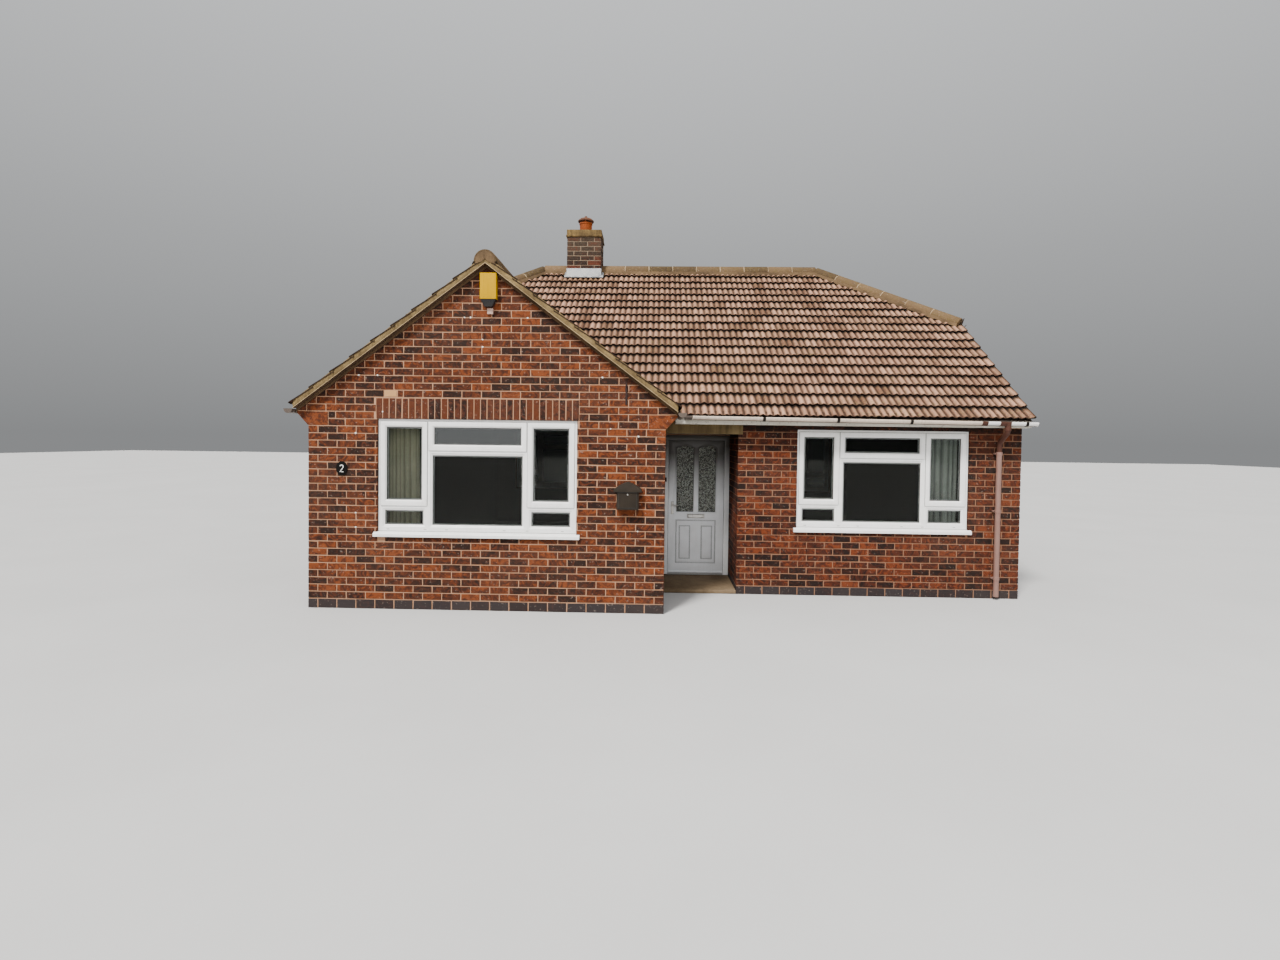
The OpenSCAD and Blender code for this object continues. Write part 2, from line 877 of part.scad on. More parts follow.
// Iron straps with two turned-up ends, against the tile edges at the feet of the hips
module hip_irons() {
    thick = 6;
    wide = 28;
    foot = -123;
    bend = -38;
    top = 60;
    lean = 33;
    prong = 70;
    prong_top = -45;
    join = foot + thick * (prong_top - foot) / prong;
    color([0.1, 0.1, 0.1]) for (a = [0, 1], b = [0, 1]) mirror([a, 0, 0]) mirror([0, b, 0])
        translate([verge_x, -hip_y, hip_z]) along_y(-wide / 2, wide / 2) polygon([
            [0, foot], [thick, foot], [prong + thick, prong_top], [prong, prong_top],
            [thick, join], [thick, bend], [lean + thick, top], [lean, top], [0, bend]]);
}

// The solid house below the stepped tops of the main slopes
module under_tiles() {
    along_x(-sky, sky) for (m = [0, 1]) mirror([m, 0])
        slope_profile(main_edge, main_edge, main_apex, slope, main_gauge, bed_depth);
}

// The same on both sides of the front right-hand hip
module under_hip_corner() {
    intersection() {
        under_tiles();
        plan([[ridge_len / 2, 0], [verge_x, -hip_y], [ridge_len / 2, -hip_y]]);
    }
    intersection() {
        along_y(-sky, sky) translate([ridge_len / 2, 0])
            slope_profile(hip_run, hip_run, main_apex, hip_slope, main_gauge, bed_depth);
        plan([[ridge_len / 2, 0], [verge_x, -hip_y], [verge_x, 0]]);
    }
}

module wing_ridge_tiles() {
    color([0.45, 0.4, 0.28]) difference() {
        along_y(verge_y, valley_top[1]) translate([wing_cx, wing_apex - ridge_drop])
            ridge_section();
        along_y(-sky, sky) translate([wing_cx, 0]) for (m = [0, 1]) mirror([m, 0])
            slope_profile(wing_edge, wing_edge, wing_apex, slope, wing_gauge, bed_depth);
        under_tiles();
    }
}

// Mortar verges in front of the brickwork, under the tile edges
module verges() {
    color([0.6, 0.55, 0.4]) {
        along_y(verge_y, wing_f) wing_verge_outline();
        for (s = [-1, 1]) {
            x0 = s > 0 ? half_w : -verge_x;
            along_x(x0, x0 + gable_overhang) for (m = [0, 1]) mirror([m, 0]) polygon([
                [hip_y, main_top(hip_y) - roof_v], [gable_foot, main_top(gable_foot) - roof_v],
                [gable_foot, main_top(gable_foot) - roof_v - verge_h],
                [hip_y, main_top(hip_y) - roof_v - verge_h]]);
        }
    }
}

gable_foot = half_d;
verge_tip = 4;
verge_taper = 220;

module wing_verge_outline() {
    under = wing_apex - roof_v;
    foot = wing_w / 2 + kneeler_out;
    full = foot - verge_taper;
    for (m = [0, 1]) translate([wing_cx, 0]) mirror([m, 0]) polygon([
        [0, under], [foot, under - foot * slope], [foot, under - foot * slope - verge_tip],
        [full, under - full * slope - verge_h], [0, under - verge_h]]);
}

// Eaves boards and rainwater goods

fascia_out = main_overhang - tile_drip;
wing_fascia = kneeler_out;

module main_eaves_boards() {
    color([0.88, 0.88, 0.84]) for (m = [0, 1]) mirror([0, m, 0]) {
        x0 = m == 0 ? wing_r + wing_fascia : -half_w;
        along_x(x0, half_w) polygon([
            [-half_d - fascia_out, soffit_z], [-half_d, soffit_z],
            [-half_d, soffit_z + board_t], [-half_d - fascia_out + board_t, soffit_z + board_t],
            [-half_d - fascia_out + board_t,
                main_top(half_d + fascia_out - board_t) - roof_v],
            [-half_d - fascia_out, main_top(half_d + fascia_out) - roof_v]]);
    }
}

module wing_eaves_boards() {
    bottom = kneeler_z + kneeler_rise - board_t;
    color([0.3, 0.2, 0.14]) for (s = [-1, 1]) {
        back = s > 0 ? -half_d - fascia_out : -half_d;
        foot = wing_w / 2 + wing_fascia;
        along_y(wing_f + wall_t, back) translate([wing_cx, 0]) mirror([s > 0 ? 0 : 1, 0]) polygon([
            [wing_w / 2, bottom], [foot, bottom],
            [foot, wing_apex - foot * slope - roof_v],
            [foot - board_t, wing_apex - (foot - board_t) * slope - roof_v],
            [foot - board_t, bottom + board_t], [wing_w / 2, bottom + board_t]]);
    }
}

module gutter_section() {
    difference() {
        circle(r = gutter_r);
        circle(r = gutter_r - gutter_t);
        translate([-gutter_r, 0]) square([2 * gutter_r, gutter_r]);
    }
}

// A gutter along X from x0 to x1, falling to x1, with closed ends
module long_gutter(x0, x1, fall) {
    length = x1 - x0;
    drop = atan(fall / length);
    translate([x0, 0, 0]) rotate([0, drop, 0]) {
        along_x(0, length / cos(drop)) gutter_section();
        for (x = [0, length / cos(drop) - gutter_t]) along_x(x, x + gutter_t) intersection() {
            circle(r = gutter_r - gutter_t / 2);
            translate([-gutter_r, -gutter_r]) square([2 * gutter_r, gutter_r]);
        }
    }
}

gutter_z = eaves_z - gutter_drop;

module gutters() {
    end_gap = 10;
    front_l = wing_r + wing_fascia + 2 * gutter_r + end_gap;
    wing_len = wing_out + wing_verge_out;
    color([0.75, 0.74, 0.7]) {
        translate([0, -half_d - fascia_out - gutter_r, gutter_z])
            long_gutter(front_l, verge_x, gutter_fall);
        translate([0, half_d + fascia_out + gutter_r, gutter_z])
            long_gutter(-verge_x, verge_x, gutter_fall);
        for (s = [-1, 1])
            translate([wing_cx + s * (wing_w / 2 + wing_fascia + gutter_r), verge_y, gutter_z])
                rotate([0, 0, 90])
                    long_gutter(0, s > 0 ? wing_len - fascia_out - 2 * gutter_r : wing_len, 0);
    }
}

// A downpipe with its outlet, swan-neck, sockets and clips, down to just above the ground
module downpipe() {
    wall_gap = 25;
    socket_t = 5;
    socket_h = 45;
    neck_h = 60;
    neck_pitch = 0.8;
    foot_z = 40;
    clip_w = 24;
    clip_in = 8;
    y_out = -half_d - fascia_out - gutter_r;
    y_in = -half_d - wall_gap - pipe_r;
    outlet_z = gutter_z - gutter_fall - gutter_r;
    neck_z = outlet_z - neck_h;
    drop = y_in - y_out;
    bend = atan(1 / neck_pitch);
    low_z = neck_z - drop * neck_pitch;
    color([0.3, 0.18, 0.12]) {
        translate([0, y_out, neck_z]) cylinder(r = pipe_r, h = neck_h);
        translate([0, y_out, neck_z]) sphere(r = pipe_r + socket_t);
        translate([0, y_out, neck_z]) rotate([-180 + bend, 0, 0])
            cylinder(r = pipe_r, h = drop / sin(bend));
        translate([0, y_in, low_z]) sphere(r = pipe_r + socket_t);
        translate([0, y_in, foot_z]) cylinder(r = pipe_r, h = low_z - foot_z);
        for (z = [low_z / 8, low_z / 1.8, low_z - socket_h * 3.5]) {
            translate([0, y_in, z]) cylinder(r = pipe_r + socket_t, h = socket_h);
            block(-clip_w / 2, clip_w / 2, y_in, -half_d, z + clip_in, z + socket_h - clip_in);
        }
    }
}

module downpipes() {
    translate([half_w - pipe_inset, 0, 0]) downpipe();
    mirror([0, 1, 0]) translate([half_w - pipe_inset, 0, 0]) downpipe();
}

// Chimney, astride the main ridge

stack_l = -stack_x - stack_w / 2;
stack_r = -stack_x + stack_w / 2;
lead_t = 4;
pot_wall = 18;
flaunch_h = 25;
flaunch_out = 80;

module chimney_hole() {
    block(stack_l, stack_r, -stack_d / 2, stack_d / 2, 0, sky);
}

module chimney_stack() {
    foot = main_top(stack_d / 2) - 2 * roof_v;
    color(brick) block(stack_l, stack_r, -stack_d / 2, stack_d / 2, foot, stack_top);
}

// A slab with a drip below its edge, and the mortar round the foot of the pot
module chimney_crown() {
    lip_h = 32;
    top_in = 12;
    color([0.5, 0.42, 0.36]) {
        block(stack_l - crown_out, stack_r + crown_out, -stack_d / 2 - crown_out,
            stack_d / 2 + crown_out, stack_top, stack_top + lip_h);
        block(stack_l - crown_out + top_in, stack_r + crown_out - top_in,
            -stack_d / 2 - crown_out + top_in, stack_d / 2 + crown_out - top_in,
            stack_top + lip_h, stack_top + crown_h);
        translate([-stack_x, 0, stack_top + crown_h])
            cylinder(r1 = pot_r + flaunch_out, r2 = pot_r + pot_wall, h = flaunch_h);
    }
}

// Lead apron, back gutter and side flashings, dressed on to the tiles
module chimney_flashing() {
    skirt = 138;
    step_y = 0.7 * stack_d / 2;
    color([0.6, 0.62, 0.64]) difference() {
        intersection() {
            block(stack_l - lead_w, stack_r + lead_w, -stack_d / 2 - lead_w,
                stack_d / 2 + lead_w, 0, sky);
            along_x(-sky, sky) polygon([
                [-main_edge, eaves_z + lead_t], [0, main_apex + lead_t],
                [main_edge, eaves_z + lead_t], [main_edge, eaves_z], [0, main_apex],
                [-main_edge, eaves_z]]);
        }
        chimney_hole();
        ridge_clear();
    }
    color([0.6, 0.62, 0.64]) difference() {
        union() {
            block(stack_l - lead_t, stack_r + lead_t, -stack_d / 2 - lead_t,
                stack_d / 2 + lead_t, main_top(stack_d / 2) - roof_v,
                main_top(stack_d / 2) + skirt);
            // The side flashings step up as they climb the slope
            block(stack_l - lead_t, stack_r + lead_t, -step_y, step_y,
                main_top(stack_d / 2), main_top(step_y) + skirt);
        }
        chimney_hole();
        under_tiles();
        ridge_clear();
    }
}

// Room for the ridge tiles on both sides of the stack
module ridge_clear() {
    along_x(-ridge_len / 2, ridge_len / 2) translate([0, main_apex - ridge_drop])
        ridge_section();
}

// A ringed pot whose mouth is open on four sides under a domed hood with a knob
module chimney_pot() {
    ring_out = 9;
    ring_h = 27;
    mouth_h = 26;
    mouth_w = 120;
    brim_h = 20;
    dome_h = 60;
    knob_r = 22;
    knob_h = 26;
    shoulder = pot_h - mouth_h;
    color([0.72, 0.33, 0.2]) translate([-stack_x, 0, stack_top + crown_h + flaunch_h])
        difference() {
            rotate_extrude() polygon([
                [pot_r - pot_wall, 0], [pot_r, 0], [pot_r, shoulder - ring_h],
                [pot_r + ring_out, shoulder - ring_h], [pot_r + ring_out, shoulder],
                [pot_r - pot_wall / 2, shoulder], [pot_r - pot_wall / 2, pot_h],
                [hood_r, pot_h], [hood_r, pot_h + brim_h],
                [hood_r * 0.75, pot_h + brim_h + dome_h * 0.55],
                [hood_r * 0.4, pot_h + brim_h + dome_h * 0.9],
                [knob_r, pot_h + brim_h + dome_h],
                [knob_r, pot_h + brim_h + dome_h + knob_h],
                [0, pot_h + brim_h + dome_h + knob_h], [0, pot_h], [pot_r - pot_wall, pot_h]]);
            for (a = [45, 135]) rotate([0, 0, a])
                block(-hood_r, hood_r, -mouth_w / 2, mouth_w / 2, shoulder + eps, pot_h);
        }
}

// Fixtures

module post_box() {
    lid_w = 322;
    lid_edge = 30;
    lid_h = 117;
    lid_out = 18;
    box_w = 254;
    box_h = 204;
    depth = 110;
    door_in = 22;
    door_t = 4;
    lock_r = 9;
    bow = 420;
    color([0.18, 0.18, 0.19]) translate([wing_r - post_x, wing_f, post_z]) {
        block(-box_w / 2, box_w / 2, -depth, 0, -box_h, 0);
        block(-box_w / 2 + door_in, box_w / 2 - door_in, -depth - door_t, -depth,
            -box_h + door_in, 0);
        translate([0, -depth, -lock_r * 3]) rotate([90, 0, 0])
            cylinder(r = lock_r, h = 2 * door_t);
        // The lid is two bowed sheets that meet in a ridge
        along_y(-depth - lid_out, 0) intersection() {
            translate([-lid_w / 2, 0]) square([lid_w, lid_h]);
            lid_bow(lid_w, lid_edge, lid_h, bow);
            mirror([1, 0]) lid_bow(lid_w, lid_edge, lid_h, bow);
        }
    }
}

// A disc whose rim runs from the lid's ridge to its far edge
module lid_bow(width, edge, height, radius) {
    run = width / 2;
    rise = height - edge;
    half = norm([run, rise]) / 2;
    away = sqrt(radius * radius - half * half);
    mid = [run / 2, (height + edge) / 2];
    translate(mid - away * [rise, run] / (2 * half)) circle(r = radius, $fn = 180);
}

alarm_x = wing_cx + 32;
alarm_h = 300;
lens_h = 86;
alarm_top = wing_top(alarm_x + alarm_w / 2) - roof_v - verge_h - alarm_gap;

module alarm_box() {
    lens_foot = 92;
    depth = 75;
    rim = 6;
    translate([alarm_x, wing_f, alarm_top]) {
        color([0.95, 0.8, 0.1])
            block(-alarm_w / 2, alarm_w / 2, -depth, 0, -alarm_h, 0);
        color([0.1, 0.12, 0.13]) along_y(-depth + rim, 0) polygon([
            [-alarm_w / 2 + rim, -alarm_h], [-lens_foot / 2, -alarm_h - lens_h],
            [lens_foot / 2, -alarm_h - lens_h], [alarm_w / 2 - rim, -alarm_h]]);
    }
}

// A small cable box on the wall below the alarm
module cable_box() {
    size = 68;
    depth = 30;
    top = alarm_top - alarm_h - lens_h - cable_gap;
    color([0.8, 0.68, 0.62]) translate([wing_cx + cable_x, wing_f, top])
        block(-size / 2, size / 2, -depth, 0, -size, 0);
}

module number_plaque() {
    plaque_h = 168;
    color([0.08, 0.08, 0.08]) translate([wing_l + plaque_x, wing_f, plaque_z]) rotate([90, 0, 0])
        linear_extrude(9) scale([plaque_w / plaque_h, 1]) circle(d = plaque_h);
}

module bell_push() {
    color([0.08, 0.08, 0.08]) translate([wing_r + door_frame_w / 2, door_y, bell_z])
        rotate([90, 0, 0]) {
            block(-14, 14, -32, 32, 0, 12);
            cylinder(r = 8, h = 16);
        }
}

module wall_hook() {
    back_w = 24;
    back_h = 230;
    back_t = 6;
    arm = 90;
    arm_t = 12;
    arm_z = 210;
    tip = 35;
    color([0.1, 0.09, 0.08]) translate([wing_r - hook_x, wing_f, hook_z]) {
        block(-back_w / 2, back_w / 2, -back_t, 0, 0, back_h);
        block(-arm_t / 2, arm_t / 2, -arm, 0, arm_z, arm_z + arm_t);
        block(-arm_t / 2, arm_t / 2, -arm, -arm + arm_t, arm_z, arm_z + tip);
    }
}

floor_slab();
wing_front_wall();
wing_left_wall();
wing_right_wall();
main_front_wall();
porch_side_wall();
door_head_wall();
left_gable_wall();
right_gable_wall();
back_wall();
porch_step();
porch_lintel();
porch_ceiling();
soldier_course();
wing_window_frame();
main_window_frame();
rear_window_frames();
window_sashes();
window_glass();
window_sills();
curtain_tracks();
curtains();
door_frame();
hinge_posts();
hinge_knuckles();
front_door();
door_glass();
handle_plates();
letter_plate();
door_handle();
main_roof_front();
main_roof_back();
half_hip_left();
half_hip_right();
wing_roof_left();
wing_roof_right();
ridge_tiles();
hip_tiles();
hip_irons();
wing_ridge_tiles();
verges();
main_eaves_boards();
wing_eaves_boards();
gutters();
downpipes();
chimney_stack();
chimney_crown();
chimney_flashing();
chimney_pot();
post_box();
alarm_box();
cable_box();
number_plaque();
bell_push();
wall_hook();
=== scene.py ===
import math
import random

import bmesh
import bpy
import numpy as np
from mathutils import Matrix, Vector


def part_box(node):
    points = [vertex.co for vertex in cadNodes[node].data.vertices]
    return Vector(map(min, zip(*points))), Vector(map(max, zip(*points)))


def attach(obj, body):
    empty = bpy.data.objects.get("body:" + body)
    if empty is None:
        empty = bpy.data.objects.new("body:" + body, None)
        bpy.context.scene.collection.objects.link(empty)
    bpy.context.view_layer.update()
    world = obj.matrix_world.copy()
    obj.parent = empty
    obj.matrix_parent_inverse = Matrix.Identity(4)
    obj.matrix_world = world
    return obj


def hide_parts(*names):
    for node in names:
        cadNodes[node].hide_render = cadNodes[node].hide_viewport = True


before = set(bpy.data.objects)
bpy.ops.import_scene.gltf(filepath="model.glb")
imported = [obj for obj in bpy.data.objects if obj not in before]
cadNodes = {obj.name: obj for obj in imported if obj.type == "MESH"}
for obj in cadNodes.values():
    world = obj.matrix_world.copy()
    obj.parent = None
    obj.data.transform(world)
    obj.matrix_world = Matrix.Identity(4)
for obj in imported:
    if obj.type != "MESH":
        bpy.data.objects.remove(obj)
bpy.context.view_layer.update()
print("frame loaded:", len(cadNodes), "nodes")

# The lines of the house in plan and height, in metres, where the solids have them
house = {
    "halfWidth": 4.39, "halfDepth": 3.48, "wall": 0.26, 
    "wingLeft": -4.492, "wingRight": -0.282, "wingMid": -2.387, "wingFront": -4.535,
    "porchRight": 0.69, "doorFace": -2.535,
    "slope": math.tan(math.radians(37)), "apex": 5.1957, "eavesEdge": 3.73,
    "wingApex": 4.1494, "wingEdge": 2.295, "wingVerge": -4.635,
    "gableVerge": 4.43, "ridgeHalf": 2.49, "hipRun": 1.94, "hipY": 1.6426, "hipFoot": 3.958,
    "valleyTop": -1.3885, "underTiles": 0.0751, "wallTop": 2.262,
}
plainTone = (0.5, 0.0, 0.0)


# Tools for meshes

def vectors(*values):
    return [np.array(v, float) for v in values]


def unit(v):
    return v / np.linalg.norm(v)


def newBag():
    return {"verts": [], "tones": [], "faces": [], "mats": [], "size": 0}


def addPart(bag, verts, faces, tone=plainTone, mat=0):
    # tone is one colour for the part, or one for each of its points
    verts = np.asarray(verts, float).reshape(-1, 3)
    tones = np.ones((len(verts), 4))
    tones[:, :3] = tone
    base = bag["size"]
    bag["verts"].append(verts)
    bag["tones"].append(tones)
    bag["faces"].extend([tuple(int(i) + base for i in f) for f in faces])
    bag["mats"].extend([mat] * len(faces))
    bag["size"] += len(verts)


def gridFaces(rows, count, ring=False, loop=False, turned=False, first=0):
    # the faces between rows of points; a ring closes each row, a loop joins the last row to the first
    faces = []
    for k in range(rows if loop else rows - 1):
        a, b = first + k * count, first + (k + 1) % rows * count
        for i in range(count if ring else count - 1):
            j = (i + 1) % count
            faces.append((a + i, b + i, b + j, a + j) if turned else (a + i, a + j, b + j, b + i))
    return faces


def addPrism(bag, verts, mat):
    # two like outlines, one after the other, closed and joined by a wall
    n = len(verts) // 2
    ends = [tuple(range(n)), tuple(range(n, 2 * n))[::-1]]
    addPart(bag, verts, ends + gridFaces(2, n, True, turned=True), mat=mat)


def rectangle(x0, x1, z0, z1):
    return [(x0, z0), (x1, z0), (x1, z1), (x0, z1)]


def cadShape(node):
    mesh = cadNodes[node].data
    return np.array([v.co for v in mesh.vertices], float), [list(p.vertices) for p in mesh.polygons]


def axesAlong(start, end):
    # the length of a line, and the directions along it, level across it and square above it
    length = np.linalg.norm(end - start)
    run = (end - start) / length
    level = unit(np.cross(run, (0, 0, 1)))
    return length, run, level, np.cross(level, run)


def makeMesh(name, bag, materials):
    mesh = bpy.data.meshes.new(name)
    mesh.from_pydata(np.vstack(bag["verts"]).tolist(), [], bag["faces"])
    for material in materials:
        mesh.materials.append(material)
    mesh.polygons.foreach_set("material_index", bag["mats"])
    tone = mesh.color_attributes.new("tone", "FLOAT_COLOR", "POINT")
    tone.data.foreach_set("color", np.vstack(bag["tones"]).ravel())
    mesh.update()
    return mesh


def putInScene(name, data):
    thing = bpy.data.objects.new(name, data)
    bpy.context.scene.collection.objects.link(thing)
    return thing


def placeMesh(name, mesh, body, stands, smooth):
    if smooth is not None:
        mesh.shade_smooth()
        mesh.set_sharp_from_angle(angle=math.radians(smooth))
    piece = putInScene(name, mesh)
    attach(piece, body)
    if stands:
        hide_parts(*stands)
    return piece


def makePiece(name, bag, materials, body="house", stands=(), smooth=None):
    return placeMesh(name, makeMesh(name, bag, materials), body, stands, smooth)


def softBox(bag, low, high, edge, mat=0, move=None):
    # a box whose twelve edges are all chamfered
    low, high = vectors(low, high)
    edge = min(edge, 0.45 * float((high - low).min()))
    verts, index, faces = [], {}, []
    corners = [tuple((corner >> k) & 1 for k in range(3)) for corner in range(8)]
    for signs in corners:
        for flat in range(3):
            point = np.where(signs, high - edge, low + edge)
            point[flat] = (low, high)[signs[flat]][flat]
            index[signs, flat] = len(verts)
            verts.append(point)
    for flat in range(3):
        a, b = [k for k in range(3) if k != flat]

        def corner(side, sa, sb, facing):
            signs = {flat: side, a: sa, b: sb}
            return index[(signs[0], signs[1], signs[2]), facing]
        for side in (0, 1):
            ring = [corner(side, sa, sb, flat) for sa, sb in ((0, 0), (1, 0), (1, 1), (0, 1))]
            faces.append(ring if (side == 1) == (flat != 1) else ring[::-1])
        for sa in (0, 1):
            for sb in (0, 1):
                faces.append([corner(end, sa, sb, facing)
                              for end, facing in ((0, a), (0, b), (1, b), (1, a))])
    faces += [[index[signs, k] for k in range(3)] for signs in corners]
    addPart(bag, [move(*p) for p in verts] if move else verts, faces, mat=mat)


def mitresOf(pts):
    # the inward mitre at each corner of a closed outline
    ahead = np.roll(pts, -1, 0) - pts
    ahead /= np.linalg.norm(ahead, axis=1)[:, None]
    inward = np.stack([-ahead[:, 1], ahead[:, 0]], 1)
    mitre = inward + np.roll(inward, 1, 0)
    return mitre / np.maximum((mitre * inward).sum(1), 0.25)[:, None]


def loopSweep(bag, outline, profile, place, mat=0, closed=False):
    # sweeps a profile of (inset, depth) round an outline; the profile may be closed too
    pts = np.array(outline, float)
    mitre = mitresOf(pts)
    verts = [place(p[0], depth, p[1]) for inset, depth in profile for p in pts + mitre * inset]
    addPart(bag, verts, gridFaces(len(profile), len(pts), True, closed), mat=mat)


def tubeAlong(bag, points, radii, sides, mat=0, flat=1.0, caps=True):
    pts = [Vector(p) for p in points]
    last = len(pts) - 1
    verts, side = [], None
    for i, p in enumerate(pts):
        ahead = (pts[min(i + 1, last)] - pts[max(i - 1, 0)]).normalized()
        if side is None:
            side = ahead.orthogonal().normalized()
        side = (side - ahead * side.dot(ahead)).normalized()
        up = ahead.cross(side)
        r = radii[i] if hasattr(radii, "__len__") else radii
        for k in range(sides):
            a = 2 * math.pi * k / sides
            verts.append(p + side * (math.cos(a) * r) + up * (math.sin(a) * r * flat))
    faces = gridFaces(len(pts), sides, True)
    if caps:
        faces += [list(range(sides))[::-1], [last * sides + k for k in range(sides)]]
    addPart(bag, verts, faces, mat=mat)


def softenSolid(node, name, material, edge=0.002, segments=2, body="house"):
    # stands for a solid with the same shape, its sharp edges rounded off
    shape = bmesh.new()
    shape.from_mesh(cadNodes[node].data)
    bmesh.ops.remove_doubles(shape, verts=shape.verts, dist=1e-5)
    bmesh.ops.dissolve_limit(shape, angle_limit=math.radians(0.08), verts=shape.verts,
                             edges=shape.edges)
    sharp = [e for e in shape.edges
             if len(e.link_faces) == 2 and e.calc_face_angle(0) > math.radians(28)]
    bmesh.ops.bevel(shape, geom=sharp, offset=edge, segments=segments, profile=0.5,
                    affect="EDGES", clamp_overlap=True)
    mesh = bpy.data.meshes.new(name)
    shape.to_mesh(mesh)
    shape.free()
    tone = mesh.color_attributes.new("tone", "FLOAT_COLOR", "POINT")
    tone.data.foreach_set("color", [*plainTone, 1.0] * len(mesh.vertices))
    mesh.materials.clear()
    mesh.materials.append(material)
    mesh.polygons.foreach_set("material_index", [0] * len(mesh.polygons))
    return placeMesh(name, mesh, body, (node,), 35)


def paintWhere(piece, material, chosen):
    # gives a second finish to the faces that chosen picks
    mesh = piece.data
    mesh.materials.append(material)
    for polygon in mesh.polygons:
        polygon.material_index = int(chosen(polygon))


# Tools for materials

def feed(tree, socket, value):
    if isinstance(value, bpy.types.NodeSocket):
        tree.links.new(value, socket)
    elif hasattr(value, "__len__") and len(value) == 3 and len(socket.default_value) == 4:
        socket.default_value = (*value, 1.0)
    else:
        socket.default_value = value


def addNode(tree, kind, inputs=None, **settings):
    node = tree.nodes.new("ShaderNode" + kind)
    for key, value in settings.items():
        setattr(node, key, value)
    for key, value in (inputs or {}).items():
        feed(tree, node.inputs[key], value)
    return node


def mixColours(tree, amount, first, second, how="MIX"):
    return addNode(tree, "Mix", {0: amount, 6: first, 7: second}, data_type="RGBA",
                   blend_type=how).outputs[2]


def calc(tree, how, first, second):
    return addNode(tree, "Math", {0: first, 1: second}, operation=how).outputs[0]


def speckle(tree, colour, shade, amount, dark, light):
    # multiplies a colour by the grain, from dark to light
    mottle = mixColours(tree, shade, (dark, dark, dark), light)
    return mixColours(tree, amount, colour, mottle, "MULTIPLY")


def times(tree, first, second):
    return calc(tree, "MULTIPLY", first, second)


def layOver(tree, colour, top, mask, share=None):
    # lays a second colour over the first where the mask is bright
    return mixColours(tree, mask if share is None else times(tree, mask, share), colour, top)


def remap(tree, value, low, high, newLow=0.0, newHigh=1.0, how="LINEAR"):
    return addNode(tree, "MapRange", {"Value": value, "From Min": low, "From Max": high,
                   "To Min": newLow, "To Max": newHigh}, clamp=True, interpolation_type=how).outputs[0]


def noise(tree, where, scale, detail, rough=0.5, twist=0.0):
    return addNode(tree, "TexNoise", {"Vector": where, "Scale": scale, "Detail": detail,
                   "Roughness": rough, "Distortion": twist}).outputs["Fac"]


def stretch(tree, where, scale):
    return addNode(tree, "Mapping", {"Vector": where, "Scale": scale}).outputs[0]


def heightOf(tree, where):
    return addNode(tree, "SeparateXYZ", {0: where}).outputs[2]


def newGroup(name, inputs, outputs):
    # the first input is the place on the surface; the others are numbers
    tree = bpy.data.node_groups.new(name, "ShaderNodeTree")
    tree.interface.new_socket("Place", in_out="INPUT", socket_type="NodeSocketVector")
    for label, start in inputs:
        socket = tree.interface.new_socket(label, in_out="INPUT", socket_type="NodeSocketFloat")
        socket.default_value = start
    for label in outputs:
        tree.interface.new_socket(label, in_out="OUTPUT", socket_type="NodeSocketFloat")
    inside, out = tree.nodes.new("NodeGroupInput"), tree.nodes.new("NodeGroupOutput")
    return tree, inside.outputs[:len(inputs) + 1], out.inputs


def useGroup(tree, group, values):
    node = addNode(tree, "Group", node_tree=group)
    for socket, value in zip(node.inputs, values):
        feed(tree, socket, value)
    return node.outputs


def newMaterial(name):
    material = bpy.data.materials.new(name)
    material.use_nodes = True
    tree = material.node_tree
    where = addNode(tree, "TexCoord").outputs["Object"]
    return material, tree, tree.nodes["Principled BSDF"], where


def coat(tree, shader, colour, rough, height, strength, distance, shine=None):
    # feeds the material's own shader
    for label, value in (("Base Color", colour), ("Roughness", rough), ("Specular IOR Level", shine)):
        if value is not None:
            feed(tree, shader.inputs[label], value)
    bump = addNode(tree, "Bump", {"Height": height, "Strength": strength, "Distance": distance})
    tree.links.new(bump.outputs[0], shader.inputs["Normal"])


def readTone(tree):
    tone = addNode(tree, "Attribute", attribute_name="tone")
    return addNode(tree, "SeparateColor", {0: tone.outputs["Color"]}).outputs


# Effects that several finishes share, as groups with their own settings

def buildGrainGroup():
    # fine grain: a height and a light-and-dark value
    tree, (place, scale, coarse), out = newGroup(
        "fineGrain", [("Scale", 300.0), ("Coarse", 0.5)], ["Height", "Shade"])
    fine = noise(tree, place, scale, 2.0, 0.6)
    wide = noise(tree, place, times(tree, scale, 0.21), 4.0, 0.65)
    both = addNode(tree, "Mix", {0: coarse, 2: fine, 3: wide}, data_type="FLOAT").outputs[0]
    tree.links.new(both, out["Height"])
    tree.links.new(remap(tree, both, 0.3, 0.7), out["Shade"])
    return tree


def buildPatchGroup():
    # soft-edged patches that cover about the given share of the surface
    tree, (place, scale, share, soft), out = newGroup(
        "patches", [("Scale", 3.0), ("Share", 0.4), ("Soft", 0.1)], ["Mask", "Depth"])
    field = noise(tree, place, scale, 6.0, 0.62)
    centre = remap(tree, share, 0.0, 1.0, 0.72, 0.28)
    low = calc(tree, "SUBTRACT", centre, soft)
    high = calc(tree, "ADD", centre, soft)
    tree.links.new(remap(tree, field, low, high, how="SMOOTHSTEP"), out["Mask"])
    tree.links.new(field, out["Depth"])
    return tree


def buildStreakGroup():
    # rain streaks and runs down a surface
    tree, (place, scale, share), out = newGroup(
        "rainStreaks", [("Scale", 20.0), ("Share", 0.4)], ["Mask"])
    field = noise(tree, stretch(tree, place, (1.0, 1.0, 0.07)), scale, 5.0, 0.6)
    slow = noise(tree, place, 1.7, 3.0, 0.5)
    both = calc(tree, "ADD", times(tree, field, 0.65), times(tree, slow, 0.35))
    centre = remap(tree, share, 0.0, 1.0, 0.7, 0.3)
    low = calc(tree, "SUBTRACT", centre, 0.08)
    high = calc(tree, "ADD", centre, 0.12)
    tree.links.new(remap(tree, both, low, high), out["Mask"])
    return tree


